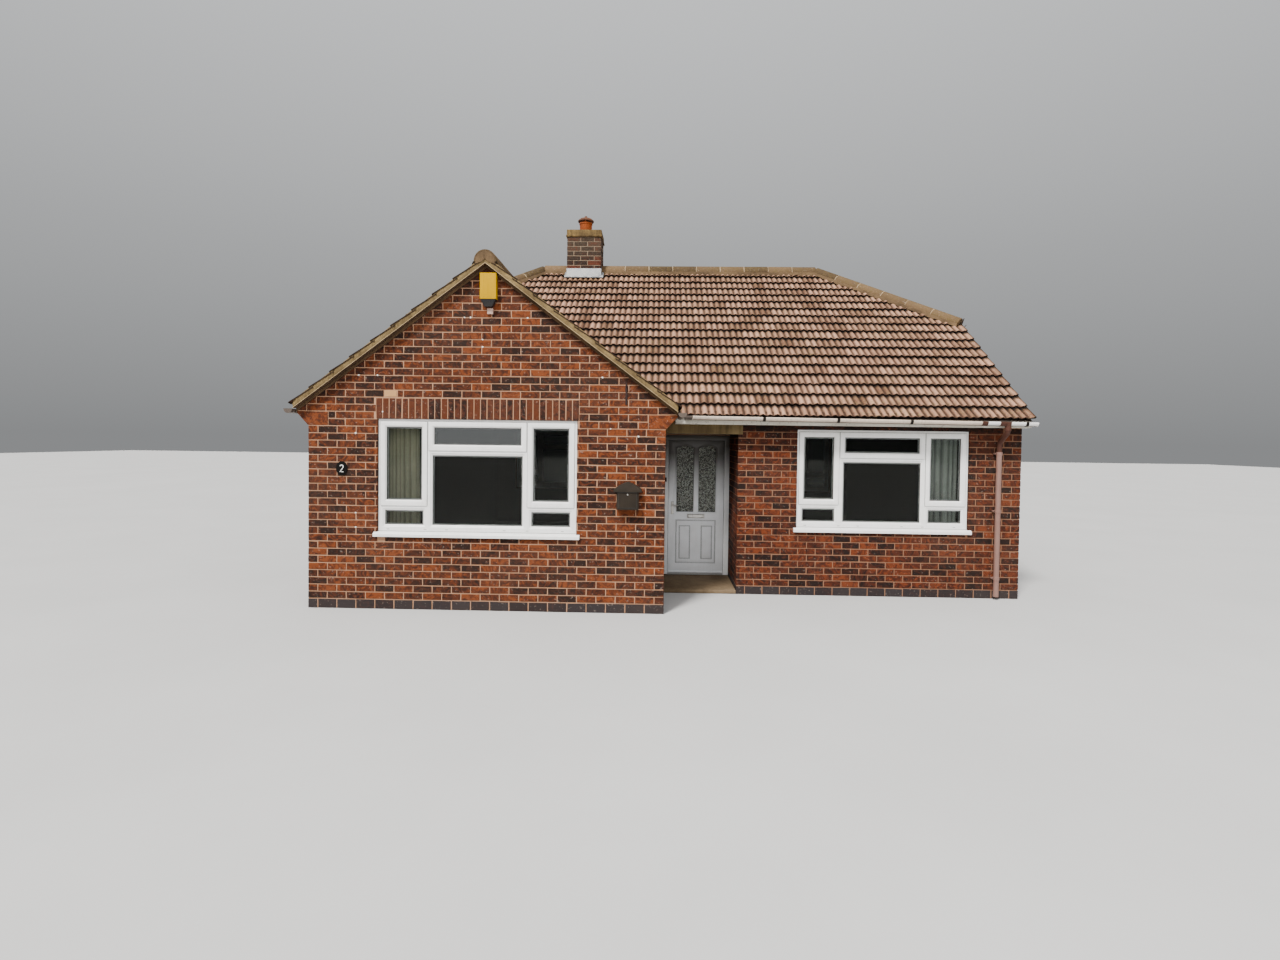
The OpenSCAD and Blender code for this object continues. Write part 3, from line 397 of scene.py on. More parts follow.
grainGroup, patchGroup, streakGroup = buildGrainGroup(), buildPatchGroup(), buildStreakGroup()


def grainOf(tree, where, scale, coarse=0.5):
    return useGroup(tree, grainGroup, (where, scale, coarse))[:2]


def patchOf(tree, where, scale, share, soft):
    return useGroup(tree, patchGroup, (where, scale, share, soft))["Mask"]


def streakOf(tree, where, scale, share):
    return useGroup(tree, streakGroup, (where, scale, share))["Mask"]


# Facing bricks: tone red picks the firing colour, green marks engineering bricks,
# blue marks the one buff brick
brickLook = {"orange": (0.17, 0.045, 0.014), "red": (0.088, 0.024, 0.01),
             "plum": (0.044, 0.016, 0.01), "dark": (0.019, 0.01, 0.008),
             "engineering": (0.03, 0.025, 0.026), "buff": (0.46, 0.25, 0.11)}
# a darker copy of the brick colours: painted shade for the main house, whose front stands back under the
# eaves; its gables, back, door head and the stack use it too
mainLook = dict(brickLook, orange=(0.14, 0.034, 0.012), red=(0.07, 0.018, 0.009),
                plum=(0.034, 0.012, 0.008), dark=(0.014, 0.008, 0.007))


def makeBrick(name, look, sootAndShade=0.0, lichenAndShadeBand=None, lichenAndShadeTint=None):
    # the band of heights gives where a crust takes over: lichen near the top of the stack, painted shade
    # under the eaves
    material, tree, shader, where = newMaterial(name)
    firing, blue, pale = readTone(tree)[:3]
    drift = noise(tree, where, 8.0, 2.5, 0.55, 2.8)
    fired = calc(tree, "ADD", firing, times(tree, calc(tree, "SUBTRACT", drift, 0.5), 1.9))
    ramp = addNode(tree, "ValToRGB", {0: fired})
    stops = ramp.color_ramp.elements
    stops[0].position, stops[0].color = 0.16, (*look["orange"], 1)
    stops[1].position, stops[1].color = 0.95, (*look["dark"], 1)
    for at, key in ((0.42, "red"), (0.7, "plum")):
        stops.new(at).color = (*look[key], 1)
    height, shade = grainOf(tree, where, 420.0, 0.45)
    colour = speckle(tree, ramp.outputs[0], shade, 0.5, 0.2, (1.6, 1.5, 1.4))
    drag = noise(tree, stretch(tree, where, (6.0, 6.0, 60.0)), 1.0, 4.0, 0.6)
    colour = layOver(tree, colour, look["dark"], remap(tree, drag, 0.52, 0.72, 0.0, 0.3))
    colour = layOver(tree, colour, look["engineering"], blue)
    colour = layOver(tree, colour, look["buff"], pale)
    salt = patchOf(tree, where, 38.0, 0.16, 0.05)
    colour = layOver(tree, colour, (0.62, 0.5, 0.42), salt, 0.22)
    grime = patchOf(tree, where, 1.3, 0.35, 0.2)
    colour = layOver(tree, colour, (0.06, 0.045, 0.035), grime, 0.22 + sootAndShade)
    if lichenAndShadeBand:
        # lichen on the stack; painted shade on the bricks under the eaves
        risen = remap(tree, heightOf(tree, where), *lichenAndShadeBand)
        broken = remap(tree, noise(tree, where, 30.0, 4.0), 0.38, 0.6, 0.35, 0.95)
        colour = layOver(tree, colour, lichenAndShadeTint, risen, broken)
    rough = remap(tree, height, 0.2, 0.8, 0.78, 0.97)
    pits = times(tree, noise(tree, where, 95.0, 4.0, 0.7), 1.6)
    coat(tree, shader, colour, rough, calc(tree, "ADD", height, pits), 0.55, 0.0022, 0.12)
    return material


def makeMortar(name, base, dark, shadeBand=None):
    material, tree, shader, where = newMaterial(name)
    height, shade = grainOf(tree, where, 650.0, 0.35)
    colour = layOver(tree, base, dark, patchOf(tree, where, 2.2, 0.42, 0.22), 0.55)
    sandy = (base[0] * 1.35, base[1] * 1.3, base[2] * 1.25)
    colour = layOver(tree, colour, sandy, remap(tree, shade, 0.0, 1.0, 0.0, 0.5))
    if shadeBand:
        # painted shade: the mortar under the eaves turns nearly black
        sootAndShade = remap(tree, heightOf(tree, where), *shadeBand, 0.0, 0.92)
        colour = layOver(tree, colour, (0.012, 0.008, 0.007), sootAndShade)
    coat(tree, shader, colour, remap(tree, shade, 0.0, 1.0, 0.86, 0.98), height, 0.6, 0.002, 0.12)
    return material


def makePlaster():
    material, tree, shader, where = newMaterial("innerPlaster")
    height, shade = grainOf(tree, where, 60.0, 0.7)
    # painted shade: the plaster is nearly black so the rooms look unlit
    colour = layOver(tree, (0.06, 0.053, 0.044), (0.04, 0.036, 0.03),
                     remap(tree, shade, 0.0, 1.0, 0.0, 0.3))
    coat(tree, shader, colour, 0.9, height, 0.3, 0.001, 0.1)
    return material


# Roof tiles: tone red varies tile by tile, green paints shade on the lip, in the troughs and under the
# next course, blue runs up the tile
tileLook = {"base": (0.27, 0.135, 0.08), "light": (0.56, 0.32, 0.215), "deep": (0.1, 0.045, 0.026),
            "lip": (0.01, 0.006, 0.005), "lichen": (0.26, 0.19, 0.08), "moss": (0.05, 0.04, 0.016)}


def makeTile(name, look, lichenShare):
    material, tree, shader, where = newMaterial(name)
    each, lip, up = readTone(tree)[:3]
    broad = noise(tree, where, 2.3, 5.0, 0.6)
    fine = noise(tree, stretch(tree, where, (60.0, 14.0, 14.0)), 1.0, 4.0, 0.65)
    blend = calc(tree, "ADD", times(tree, each, 0.6), times(tree, broad, 0.3))
    blend = calc(tree, "ADD", blend, times(tree, fine, 0.45))
    colour = layOver(tree, look["deep"], look["light"], remap(tree, blend, 0.42, 0.92))
    colour = layOver(tree, colour, look["base"], 0.3)
    spots = patchOf(tree, where, 26.0, lichenShare, 0.09)
    area = patchOf(tree, where, 1.1, 0.5, 0.22)
    colour = layOver(tree, colour, look["lichen"], spots, remap(tree, area, 0, 1, 0.12, 0.62))
    colour = layOver(tree, colour, (0.66, 0.58, 0.48), patchOf(tree, where, 60.0, 0.14, 0.03), 0.4)
    soil = remap(tree, up, 0.55, 1.0)
    colour = layOver(tree, colour, look["moss"], soil, remap(tree, broad, 0.3, 0.7, 0.35, 0.9))
    colour = layOver(tree, colour, look["lip"], lip)
    height, shade = grainOf(tree, where, 380.0)
    colour = speckle(tree, colour, shade, 0.45, 0.25, (1.5, 1.5, 1.5))
    rough = remap(tree, shade, 0.0, 1.0, 0.74, 0.95)
    coat(tree, shader, colour, rough, calc(tree, "ADD", height, times(tree, spots, 0.6)), 0.5, 0.0018,
         0.12)
    return material


def makeStone(name, base, stain, grain=420.0, stainShare=0.4, streaks=0.3, speck=0.3):
    # concrete, cast stone, mortar bedding and other mineral finishes
    material, tree, shader, where = newMaterial(name)
    height, shade = grainOf(tree, where, grain)
    broad = patchOf(tree, where, 3.2, stainShare, 0.2)
    runs = streakOf(tree, where, 22.0, 0.4)
    colour = layOver(tree, base, stain, broad, 0.7)
    colour = layOver(tree, colour, tuple(c * 0.35 for c in stain), runs, streaks)
    colour = speckle(tree, colour, shade, speck, 0.35, (1.4, 1.38, 1.35))
    rough = remap(tree, shade, 0.0, 1.0, 0.78, 0.96)
    pits = noise(tree, where, grain * 0.2, 4.0, 0.65)
    coat(tree, shader, colour, rough, calc(tree, "ADD", height, pits), 0.5, 0.002, 0.15)
    return material


def makePlastic(name, base, dirtAndShade, gloss, dirtShare=0.35, dirtAmount=0.35, runs=0.2, shine=0.5,
                gloom=None):
    # tone green adds painted shade in the dirt colour where a mesh asks for it; gloom is (low, high,
    # amount) of painted shade by height
    material, tree, shader, where = newMaterial(name)
    film = patchOf(tree, where, 6.0, dirtShare, 0.25)
    drips = streakOf(tree, where, 45.0, 0.38)
    height, shade = grainOf(tree, where, 240.0)
    colour = layOver(tree, base, dirtAndShade, film, dirtAmount)
    colour = layOver(tree, colour, dirtAndShade, drips, runs)
    colour = layOver(tree, colour, dirtAndShade, remap(tree, shade, 0.0, 1.0, 0.0, 0.07))
    colour = layOver(tree, colour, dirtAndShade, readTone(tree)[1], 0.9)
    if gloom:
        heightShade = remap(tree, heightOf(tree, where), gloom[0], gloom[1], 0.0, gloom[2])
        colour = layOver(tree, colour, tuple(c * k for c, k in zip(dirtAndShade, (0.1, 0.085, 0.065))), heightShade)
    dull = times(tree, film, 0.25)
    rough = calc(tree, "ADD", dull, remap(tree, shade, 0, 1, gloss, gloss + 0.12))
    coat(tree, shader, colour, rough, height, 0.12, 0.0006, shine)
    return material


def makeMetal(name, base, worn, metallic, rough, wear=0.3, scale=30.0):
    material, tree, shader, where = newMaterial(name)
    patch = patchOf(tree, where, scale, wear, 0.12)
    height, shade = grainOf(tree, where, 500.0)
    colour = layOver(tree, base, worn, patch)
    colour = layOver(tree, colour, worn, remap(tree, shade, 0.0, 1.0, 0.0, 0.18))
    shader.inputs["Metallic"].default_value = metallic
    dull = times(tree, patch, 0.2)
    rough = calc(tree, "ADD", dull, remap(tree, shade, 0, 1, rough, rough + 0.1))
    coat(tree, shader, colour, rough, height, 0.2, 0.0006)
    return material


def makePaintedWood(name, base, bare, peel=0.18):
    material, tree, shader, where = newMaterial(name)
    along = noise(tree, stretch(tree, where, (2.0, 2.0, 70.0)), 1.0, 5.0, 0.6)
    flakes = patchOf(tree, where, 34.0, peel, 0.03)
    damp = patchOf(tree, where, 2.4, 0.42, 0.2)
    colour = layOver(tree, base, bare, remap(tree, along, 0.35, 0.7, 0.0, 0.18))
    colour = layOver(tree, colour, bare, damp, 0.28)
    colour = layOver(tree, colour, tuple(c * 0.5 for c in bare), flakes, 0.5)
    rough = remap(tree, along, 0.3, 0.7, 0.45, 0.62)
    raised = calc(tree, "SUBTRACT", along, times(tree, flakes, 0.8))
    coat(tree, shader, colour, rough, raised, 0.3, 0.0012)
    return material


def makeGlass(name, bend, clear=1.0):
    material, tree, shader, where = newMaterial(name)
    smear = patchOf(tree, where, 5.0, 0.35, 0.25)
    tint = [tuple(c * clear for c in colour) for colour in ((0.8, 0.82, 0.79), (0.72, 0.74, 0.71))]
    colour = layOver(tree, *tint, smear, 0.5)
    shader.inputs["IOR"].default_value = bend
    shader.inputs["Transmission Weight"].default_value = 1.0
    rough = remap(tree, smear, 0.0, 1.0, 0.012, 0.05)
    coat(tree, shader, colour, rough, noise(tree, where, 1.6, 2.0, 0.5), 0.06, 0.01)
    return material


def makeObscureGlass():
    material, tree, shader, where = newMaterial("obscurePane")
    cells = addNode(tree, "TexVoronoi", {"Vector": where, "Scale": 46.0},
                    feature="SMOOTH_F1").outputs["Distance"]
    leaf = noise(tree, where, 34.0, 3.0, 0.6)
    relief = calc(tree, "ADD", cells, times(tree, leaf, 1.2))
    # the colour runs from near black to pale with the relief: the pale flecks are painted glints
    colour = layOver(tree, (0.05, 0.058, 0.046), (0.9, 0.95, 0.84), remap(tree, relief, 0.78, 1.12))
    shader.inputs["IOR"].default_value = 1.6
    shader.inputs["Transmission Weight"].default_value = 0.82
    coat(tree, shader, colour, remap(tree, relief, 0.4, 1.3, 0.08, 0.22), relief, 1.0, 0.014)
    return material


def makeCloth(name, base, shadow, folds):
    # tone red marks the backs of the folds, which get painted shade
    material, tree, shader, where = newMaterial(name)
    warp, weft = (addNode(tree, "TexWave", {"Vector": where, "Scale": 260.0, "Distortion": 0.6},
                          wave_type="BANDS", bands_direction=way).outputs["Fac"] for way in "XZ")
    weave = times(tree, warp, weft)
    fade = patchOf(tree, where, 2.0, 0.45, 0.25)
    valley = readTone(tree)[0]
    colour = layOver(tree, base, shadow, remap(tree, weave, 0.0, 1.0, 0.35, 0.0))
    colour = layOver(tree, colour, shadow, valley, folds)
    colour = layOver(tree, colour, shadow, fade, 0.3)
    shader.inputs["Sheen Weight"].default_value = 0.25
    coat(tree, shader, colour, 0.92, weave, 0.3, 0.0008)
    return material


mortarTones = {"wing": ((0.36, 0.205, 0.125), (0.16, 0.09, 0.052)),
               # the main house's mortar is darker too, as painted shade
               "main": ((0.24, 0.125, 0.075), (0.11, 0.06, 0.036)),
               "stack": ((0.27, 0.2, 0.14), (0.1, 0.075, 0.05))}
eavesShadeBand = (2.15, 2.19)  # painted shade on the courses under the eaves
brickMat = makeBrick("brickFace", brickLook)
soldierMat = makeBrick("soldierBrick", dict(brickLook, orange=(0.09, 0.025, 0.01),
                       red=(0.095, 0.028, 0.013), plum=(0.055, 0.02, 0.013)))
mortarMat = makeMortar("mortarJoint", *mortarTones["wing"])
mainBrickMat = makeBrick("mainBrick", mainLook)
mainMortarMat = makeMortar("mainMortar", *mortarTones["main"])
# the bricks and mortar of the eaves courses, with their band of painted shade
eavesBrickMat = makeBrick("eavesBrick", mainLook, 0.0, eavesShadeBand, (0.01, 0.007, 0.006))
eavesMortarMat = makeMortar("eavesMortar", *mortarTones["main"], eavesShadeBand)
plasterMat = makePlaster()
tileMat = makeTile("roofTile", tileLook, 0.4)
ridgeMat = makeTile("ridgeTile", dict(tileLook, base=(0.1, 0.062, 0.03), light=(0.2, 0.125, 0.068),
                    deep=(0.045, 0.03, 0.018), lichen=(0.12, 0.085, 0.03)), 0.5)
undercloakMat = makeStone("undercloakBoard", (0.4, 0.3, 0.17), (0.16, 0.105, 0.055), 300.0, 0.4, 0.2)
feltMat = makeStone("roofUnderlay", (0.06, 0.045, 0.036), (0.03, 0.024, 0.02), 200.0)
concreteMat = makeStone("concreteSurface", (0.21, 0.15, 0.09), (0.1, 0.07, 0.042))
# the porch lintel's stone is darker as painted shade under the eaves
castMat = makeStone("castStone", (0.2, 0.145, 0.068), (0.075, 0.05, 0.024), 600.0, 0.5, 0.6)
crownMat = makeStone("chimneyCrown", (0.26, 0.17, 0.06), (0.05, 0.032, 0.018), 160.0, 0.6, 0.8, 0.7)
upvcMat = makePlastic("windowPlastic", (0.88, 0.88, 0.87), (0.36, 0.33, 0.27), 0.28, 0.3, 0.14, 0.1)
# the door and its frame darken towards the top: painted shade under the porch ceiling
doorMat = makePlastic("doorPlastic", (0.92, 0.95, 0.98), (0.36, 0.34, 0.3), 0.3, 0.3, 0.15, 0.08,
                      gloom=(1.1, 1.84, 0.93))
doorFrameMat = makePlastic("doorFramePlastic", (0.84, 0.86, 0.87), (0.36, 0.33, 0.27), 0.3, 0.3,
                           0.15, 0.1, gloom=(1.2, 1.95, 0.96))
# painted shade: the porch ceiling is made dark so the porch stays dim
ceilingMat = makePaintedWood("porchCeilingPaint", (0.1, 0.085, 0.065), (0.05, 0.04, 0.03))
# black for real seals, and for dark strips painted as shade in gaps and at edges
sealAndShadeMat = makePlastic("sealAndShadeBlack", (0.012, 0.012, 0.012), (0.05, 0.045, 0.04), 0.5)
gutterMat = makePlastic("paleRainwater", (0.72, 0.6, 0.49), (0.045, 0.028, 0.02), 0.42, 0.4, 0.2,
                        0.25, 0.3)
whiteGutterMat = makePlastic("whiteRainwater", (0.86, 0.85, 0.83), (0.045, 0.03, 0.022), 0.35, 0.3,
                             0.08, 0.1)
# brown unions, outlets and swan necks: darker than the pipe, partly their own colour and partly painted
# shade under the eaves
outletMat = makePlastic("brownOutlet", (0.06, 0.021, 0.013), (0.1, 0.055, 0.04), 0.45, 0.3, 0.2,
                        0.2, 0.2)
brownPlasticMat = makePlastic("brownRainwater", (0.19, 0.1, 0.078), (0.26, 0.18, 0.15), 0.36, 0.3, 0.25)
darkGutterMat = makePlastic("darkRainwater", (0.05, 0.035, 0.028), (0.13, 0.1, 0.075), 0.4, 0.4, 0.4)
boardMat = makePaintedWood("eavesPaint", (0.7, 0.67, 0.58), (0.24, 0.19, 0.13), 0.26)
brownBoardMat = makePaintedWood("brownStain", (0.075, 0.042, 0.026), (0.16, 0.1, 0.06), 0.12)
leadMat = makeMetal("sheetLead", (0.2, 0.21, 0.225), (0.44, 0.44, 0.44), 0.5, 0.55, 0.5, 14.0)
doorMetalMat = makeMetal("satinMetal", (0.62, 0.61, 0.58), (0.4, 0.37, 0.32), 1.0, 0.3, 0.25, 60.0)
spacerMat = makeMetal("paneSpacer", (0.5, 0.51, 0.52), (0.35, 0.35, 0.35), 1.0, 0.4)
darkMetalMat = makePlastic("charcoalPaint", (0.02, 0.016, 0.012), (0.05, 0.036, 0.025), 0.5, shine=0.12)
ironMat = makePlastic("wroughtIron", (0.016, 0.016, 0.018), (0.06, 0.028, 0.018), 0.6, 0.4, 0.5, 0.3,
                      0.15)
potMat = makeStone("terracottaPot", (0.36, 0.08, 0.018), (0.2, 0.05, 0.016), 500.0, 0.4, 0.3, 0.2)
potHoodMat = makeStone("potHood", (0.2, 0.085, 0.045), (0.07, 0.035, 0.024), 500.0, 0.5)
yellowMat = makePlastic("yellowCover", (0.5, 0.28, 0.0), (0.22, 0.11, 0.0), 0.5, 0.3, 0.3, 0.2, 0.04)
lensMat = makePlastic("darkLens", (0.01, 0.01, 0.012), (0.04, 0.035, 0.03), 0.2, shine=0.25)
beigeMat = makePlastic("beigeBox", (0.5, 0.33, 0.27), (0.3, 0.2, 0.15), 0.4)
plaqueMat = makePlastic("blackEnamel", (0.004, 0.004, 0.004), (0.014, 0.012, 0.01), 0.35, shine=0.06)
whitePaintMat = makePlastic("whiteEnamel", (0.8, 0.8, 0.78), (0.4, 0.36, 0.3), 0.3)
glassMat = makeGlass("clearPane", 1.18, 0.95)
ventGlassMat = makeGlass("ventPane", 3.1)
# the rear panes are tinted dark: painted shade for the unlit rooms behind
rearGlassMat = makeGlass("rearPane", 1.3, 0.16)
obscureMat = makeObscureGlass()
leftCurtainMat = makeCloth("greyCurtain", (0.88, 0.83, 0.68), (0.15, 0.14, 0.1), 0.85)
rightCurtainMat = makeCloth("paleCurtain", (0.84, 0.88, 0.88), (0.13, 0.14, 0.14), 0.8)
fillerMat = makeStone("fillerPlug", (0.85, 0.83, 0.76), (0.6, 0.55, 0.45), 700.0, 0.3, 0.1, 0.15)
unionMat = makePlastic("gutterClip", (0.008, 0.007, 0.006), (0.03, 0.024, 0.02), 0.5, shine=0.1)
drainMat = makePlastic("drainCap", (0.22, 0.22, 0.22), (0.08, 0.07, 0.06), 0.5)
screedMat = makeStone("floorScreed", (0.1, 0.085, 0.07), (0.06, 0.05, 0.04), 200.0)
stripMat = makeStone("ridgeBedding", (0.15, 0.095, 0.048), (0.05, 0.032, 0.018), 120.0, 0.5, 0.4, 0.4)
jointMat = makeStone("ridgeJoint", (0.42, 0.31, 0.19), (0.2, 0.14, 0.08), 300.0, 0.4, 0.2)
# painted shade on the undersides of the verge boards
undersideShadeMat = makeStone("boardUndersideShade", (0.085, 0.05, 0.03), (0.05, 0.03, 0.018), 300.0, 0.4, 0.2)
vergeMat = makeStone("vergeMortarFace", (0.25, 0.175, 0.078), (0.07, 0.045, 0.02), 60.0, 0.55, 0.4,
                     0.55)
# dark brown, partly painted shade under the verge
filletMat = makeStone("shadedFillet", (0.125, 0.074, 0.038), (0.045, 0.028, 0.015), 200.0, 0.5, 0.3,
                      0.2)
stackMortarMat = makeMortar("stackMortar", *mortarTones["stack"])
stackMat = makeBrick("chimneyBrick", dict(mainLook, orange=(0.12, 0.03, 0.014)), 0.2, (5.22, 5.5),
                     (0.06, 0.046, 0.032))
print("materials built:", len(bpy.data.materials))

# Brickwork. A face is described by a function that turns (along, height, behind) into a point.
courses = {"start": 0.112, "rise": 0.0852, "pitch": 0.2286, "joint": 0.010, "edge": 0.0028,
           "header": 0.1025, "stretcher": 0.2185, "skin": 0.03}


def courseLine(n):
    return 0.0 if n < 0 else courses["start"] + courses["rise"] * n


def clipToBox(outline, left, right, low, high):
    # the part of an outline inside one brick's place
    for axis, bound, keepAbove in ((0, left, True), (0, right, False), (1, low, True), (1, high, False)):
        kept = []
        for i, p in enumerate(outline):
            q = outline[(i + 1) % len(outline)]
            pIn = p[axis] >= bound if keepAbove else p[axis] <= bound
            qIn = q[axis] >= bound if keepAbove else q[axis] <= bound
            if pIn:
                kept.append(p)
            if pIn != qIn:
                t = (bound - p[axis]) / (q[axis] - p[axis])
                kept.append((p[0] + t * (q[0] - p[0]), p[1] + t * (q[1] - p[1])))
        outline = kept
        if len(outline) < 3:
            return []
    clean = []
    for p in outline:
        if not clean or math.dist(p, clean[-1]) > 0.0015:
            clean.append(p)
    if len(clean) > 2 and math.dist(clean[0], clean[-1]) < 0.0015:
        clean.pop()
    return clean if len(clean) > 2 else []


def areaOf(outline):
    return 0.5 * sum(p[0] * q[1] - q[0] * p[1] for p, q in zip(outline, outline[1:] + outline[:1]))


def layBrick(bag, place, shape, depth, tone, rng):
    area = areaOf(shape) if len(shape) > 2 else 0.0
    if abs(area) < 0.0007:
        return
    pts = np.array(shape if area > 0 else shape[::-1])
    mitre, middle, n = mitresOf(pts), pts.mean(0), len(pts)
    back = rng.uniform(0.0, 0.0012)
    tilt = rng.uniform(-0.0011, 0.0011)
    edge = courses["edge"]
    verts = []
    for ring, (inset, behind) in enumerate(((0.0, depth), (0.0, edge), (edge, 0.0))):
        for p, m in zip(pts, mitre):
            chip = rng.uniform(0.0, 0.0016) + (rng.uniform(0.002, 0.005) if rng.random() < 0.07 else 0.0)
            q = p + m * (inset + (chip if ring else 0.0))
            lift = behind + back + (max(0.0, tilt * (q[0] - middle[0]) / 0.1) if ring else 0.0)
            verts.append(place(q[0], q[1], lift))
    addPart(bag, verts, gridFaces(3, n, True) + [[2 * n + i for i in range(n)]], tone, 1)


def brickTone(rng, course):
    # mostly red and plum, some orange, with a dark blue-grey first course
    if course < 0:
        return (0.9 + rng.uniform(0, 0.1), rng.uniform(0.55, 0.95), 0.0)
    pick = rng.random()
    for share, low, high in ((0.2, 0.2, 0.38), (0.58, 0.38, 0.56), (0.82, 0.56, 0.76), (1, 0.76, 0.98)):
        if pick < share:
            return (rng.uniform(low, high), 0.0, 0.0)


def jointsOf(begin, finish, phase, pitch):
    places = (phase + pitch * k for k in range(int((finish - phase) / pitch) + 2))
    return [begin, *(at for at in places if begin + 0.06 < at < finish - 0.06), finish]


def cutHoles(spans, holes):
    for left, right, low, high in holes:
        rest = []
        for a, b, c, d in spans:
            if b <= left or a >= right or d <= low or c >= high:
                rest.append((a, b, c, d))
                continue
            if a < left:
                rest.append((a, left, c, d))
            if b > right:
                rest.append((right, b, c, d))
            if c < low and a >= left - 0.11 and low - c > 0.02:
                rest.append((max(a, left), min(b, right), c, low))
            if d > high and d - high > 0.02:
                rest.append((max(a, left), min(b, right), high, d))
        spans = rest
    return spans


def layFace(bag, place, outline, width, seed, pitch=courses["pitch"], holes=(),
            ends=("corner", "corner"), low=0.0, high=9.0, swap=0, first=-1, odd=None):
    # stretcher bond between two ends; ends that turn a corner carry the whole quoin brick,
    # ends that meet one stop short of it
    rng = random.Random(seed)
    gap = courses["joint"] / 2
    for n in range(first, int((high - courses["start"]) / courses["rise"]) + 2):
        z0, z1 = courseLine(n) + gap if n >= 0 else 0.0, courseLine(n + 1) - gap
        if z1 < low or z0 > high:
            continue
        even = (n + swap) % 2 == 0
        quoin = courses["header"] if even else courses["stretcher"]
        begin = quoin + courses["joint"] if ends[0] == "meets" else 0.0
        finish = width - quoin - courses["joint"] if ends[1] == "meets" else width
        phase = (0.0 if even else -pitch / 2) + (pitch / 2 if ends[0] == "meets" else 0.0)
        cuts = jointsOf(begin, finish, phase, pitch)
        last = len(cuts) - 2
        for i in range(last + 1):
            left = cuts[i] + (gap if i else 0.0)
            right = cuts[i + 1] - (gap if i < last else 0.0)
            spans = cutHoles([(left, right, z0, z1)], holes)
            if odd and left < odd[0] < right and z0 < odd[1] < z1:
                spans = [(left, left + 0.147, z0, z1), (left + 0.158, right, z0, z1)]
            for a, b, c, d in spans:
                if b - a < 0.018 or d - c < 0.018:
                    continue
                depth = quoin if i == 0 and ends[0] == "corner" else courses["skin"]
                if i == last and ends[1] == "corner":
                    wide = cuts[i + 1] - cuts[i] > 0.75 * pitch
                    depth = courses["header"] if wide else courses["stretcher"]
                if any(abs(a - h[1]) < 0.002 or abs(b - h[0]) < 0.002 for h in holes):
                    depth = max(depth, courses["header"])
                wobble = rng.uniform(-0.0012, 0.0012)
                shape = clipToBox(outline, a, b, c + wobble, d + wobble)
                tone = brickTone(rng, n)
                if odd and a < odd[0] < b and c < odd[1] < d:
                    tone = (0.3, 0.0, 1.0)  # the one buff brick
                layBrick(bag, place, shape, depth, tone, rng)


def layWall(bag, place, width, top, seed, *bond, **more):
    # a plain wall face of one height
    layFace(bag, place, rectangle(0, width, 0, top), width, seed, *bond, high=top, **more)


def mortarBody(bag, node, planes, inner=None):
    # the wall behind the bricks: the solid's own mesh, set back on the faces that carry bricks;
    # inner is the axis, place and side of the plastered face
    verts, faces = cadShape(node)
    moved = verts.copy()
    for axis, value, shift, *limit in planes:
        near = np.abs(verts[:, axis] - value) < 0.0008
        for other, low, high in limit:
            near &= (verts[:, other] > low) & (verts[:, other] < high)
        moved[near, axis] += shift
    outer, plaster = [], []
    for face, polygon in zip(faces, cadNodes[node].data.polygons):
        inside = inner and polygon.normal[inner[0]] * inner[2] > 0.9 and (
            abs(verts[face].mean(0)[inner[0]] - inner[1]) < 0.002)
        (plaster if inside else outer).append(face)
    addPart(bag, moved, outer)
    if plaster:
        addPart(bag, moved, plaster, mat=2)


def alongX(y, facing):
    # a face that looks along -Y (facing -1) or +Y (facing 1)
    return lambda u, z, behind: (u, y - facing * behind, z)


def alongY(x, facing):
    return lambda u, z, behind: (x - facing * behind, u, z)


def shifted(place, offset, sign=1):
    return lambda u, z, behind: place(offset + sign * u, z, behind)


def roofUnder(y):
    # the underside of the tiles, which is the top of a gable
    return house["apex"] - abs(y) * house["slope"] - house["underTiles"]


def wingUnder(x):
    return house["wingApex"] - abs(x - house["wingMid"]) * house["slope"] - house["underTiles"]


kneelers = {"out": 0.135, "low": 2.155, "top": 2.305}
wallMats = [mortarMat, brickMat, plasterMat]
mainMats = [mainMortarMat, mainBrickMat] + wallMats[2:]
eavesMats = [eavesMortarMat, eavesBrickMat] + wallMats[2:]
setBack = 0.006  # the mortar lies this far behind the brick faces
winLeft, winRight, winFoot, winTop = -3.668, -1.318, 0.858, 2.246
mainWinLeft, mainWinRight, mainWinFoot, mainWinTop = 1.474, 3.716, 0.84, 2.194
mainWinWide = mainWinRight - mainWinLeft
jamb = (2, 0.83, 2.2)  # the heights between which a window's jambs are set back
# white filler plugs in the joints, as distances along and up the wing's front
fillerPlugs = ((-2.647, 3.435), (-2.434, 3.179), (-2.434, 3.094), (-3.895, 2.753), (-3.67, 2.753),
               (-3.609, 2.327), (-2.577, 3.435), (-1.909, 3.435), (-3.929, 2.072), (-1.028, 2.753),
               (-0.928, 2.157), (-0.601, 2.072), (-3.926, 1.134), (-3.926, 0.964), (-0.599, 0.964))


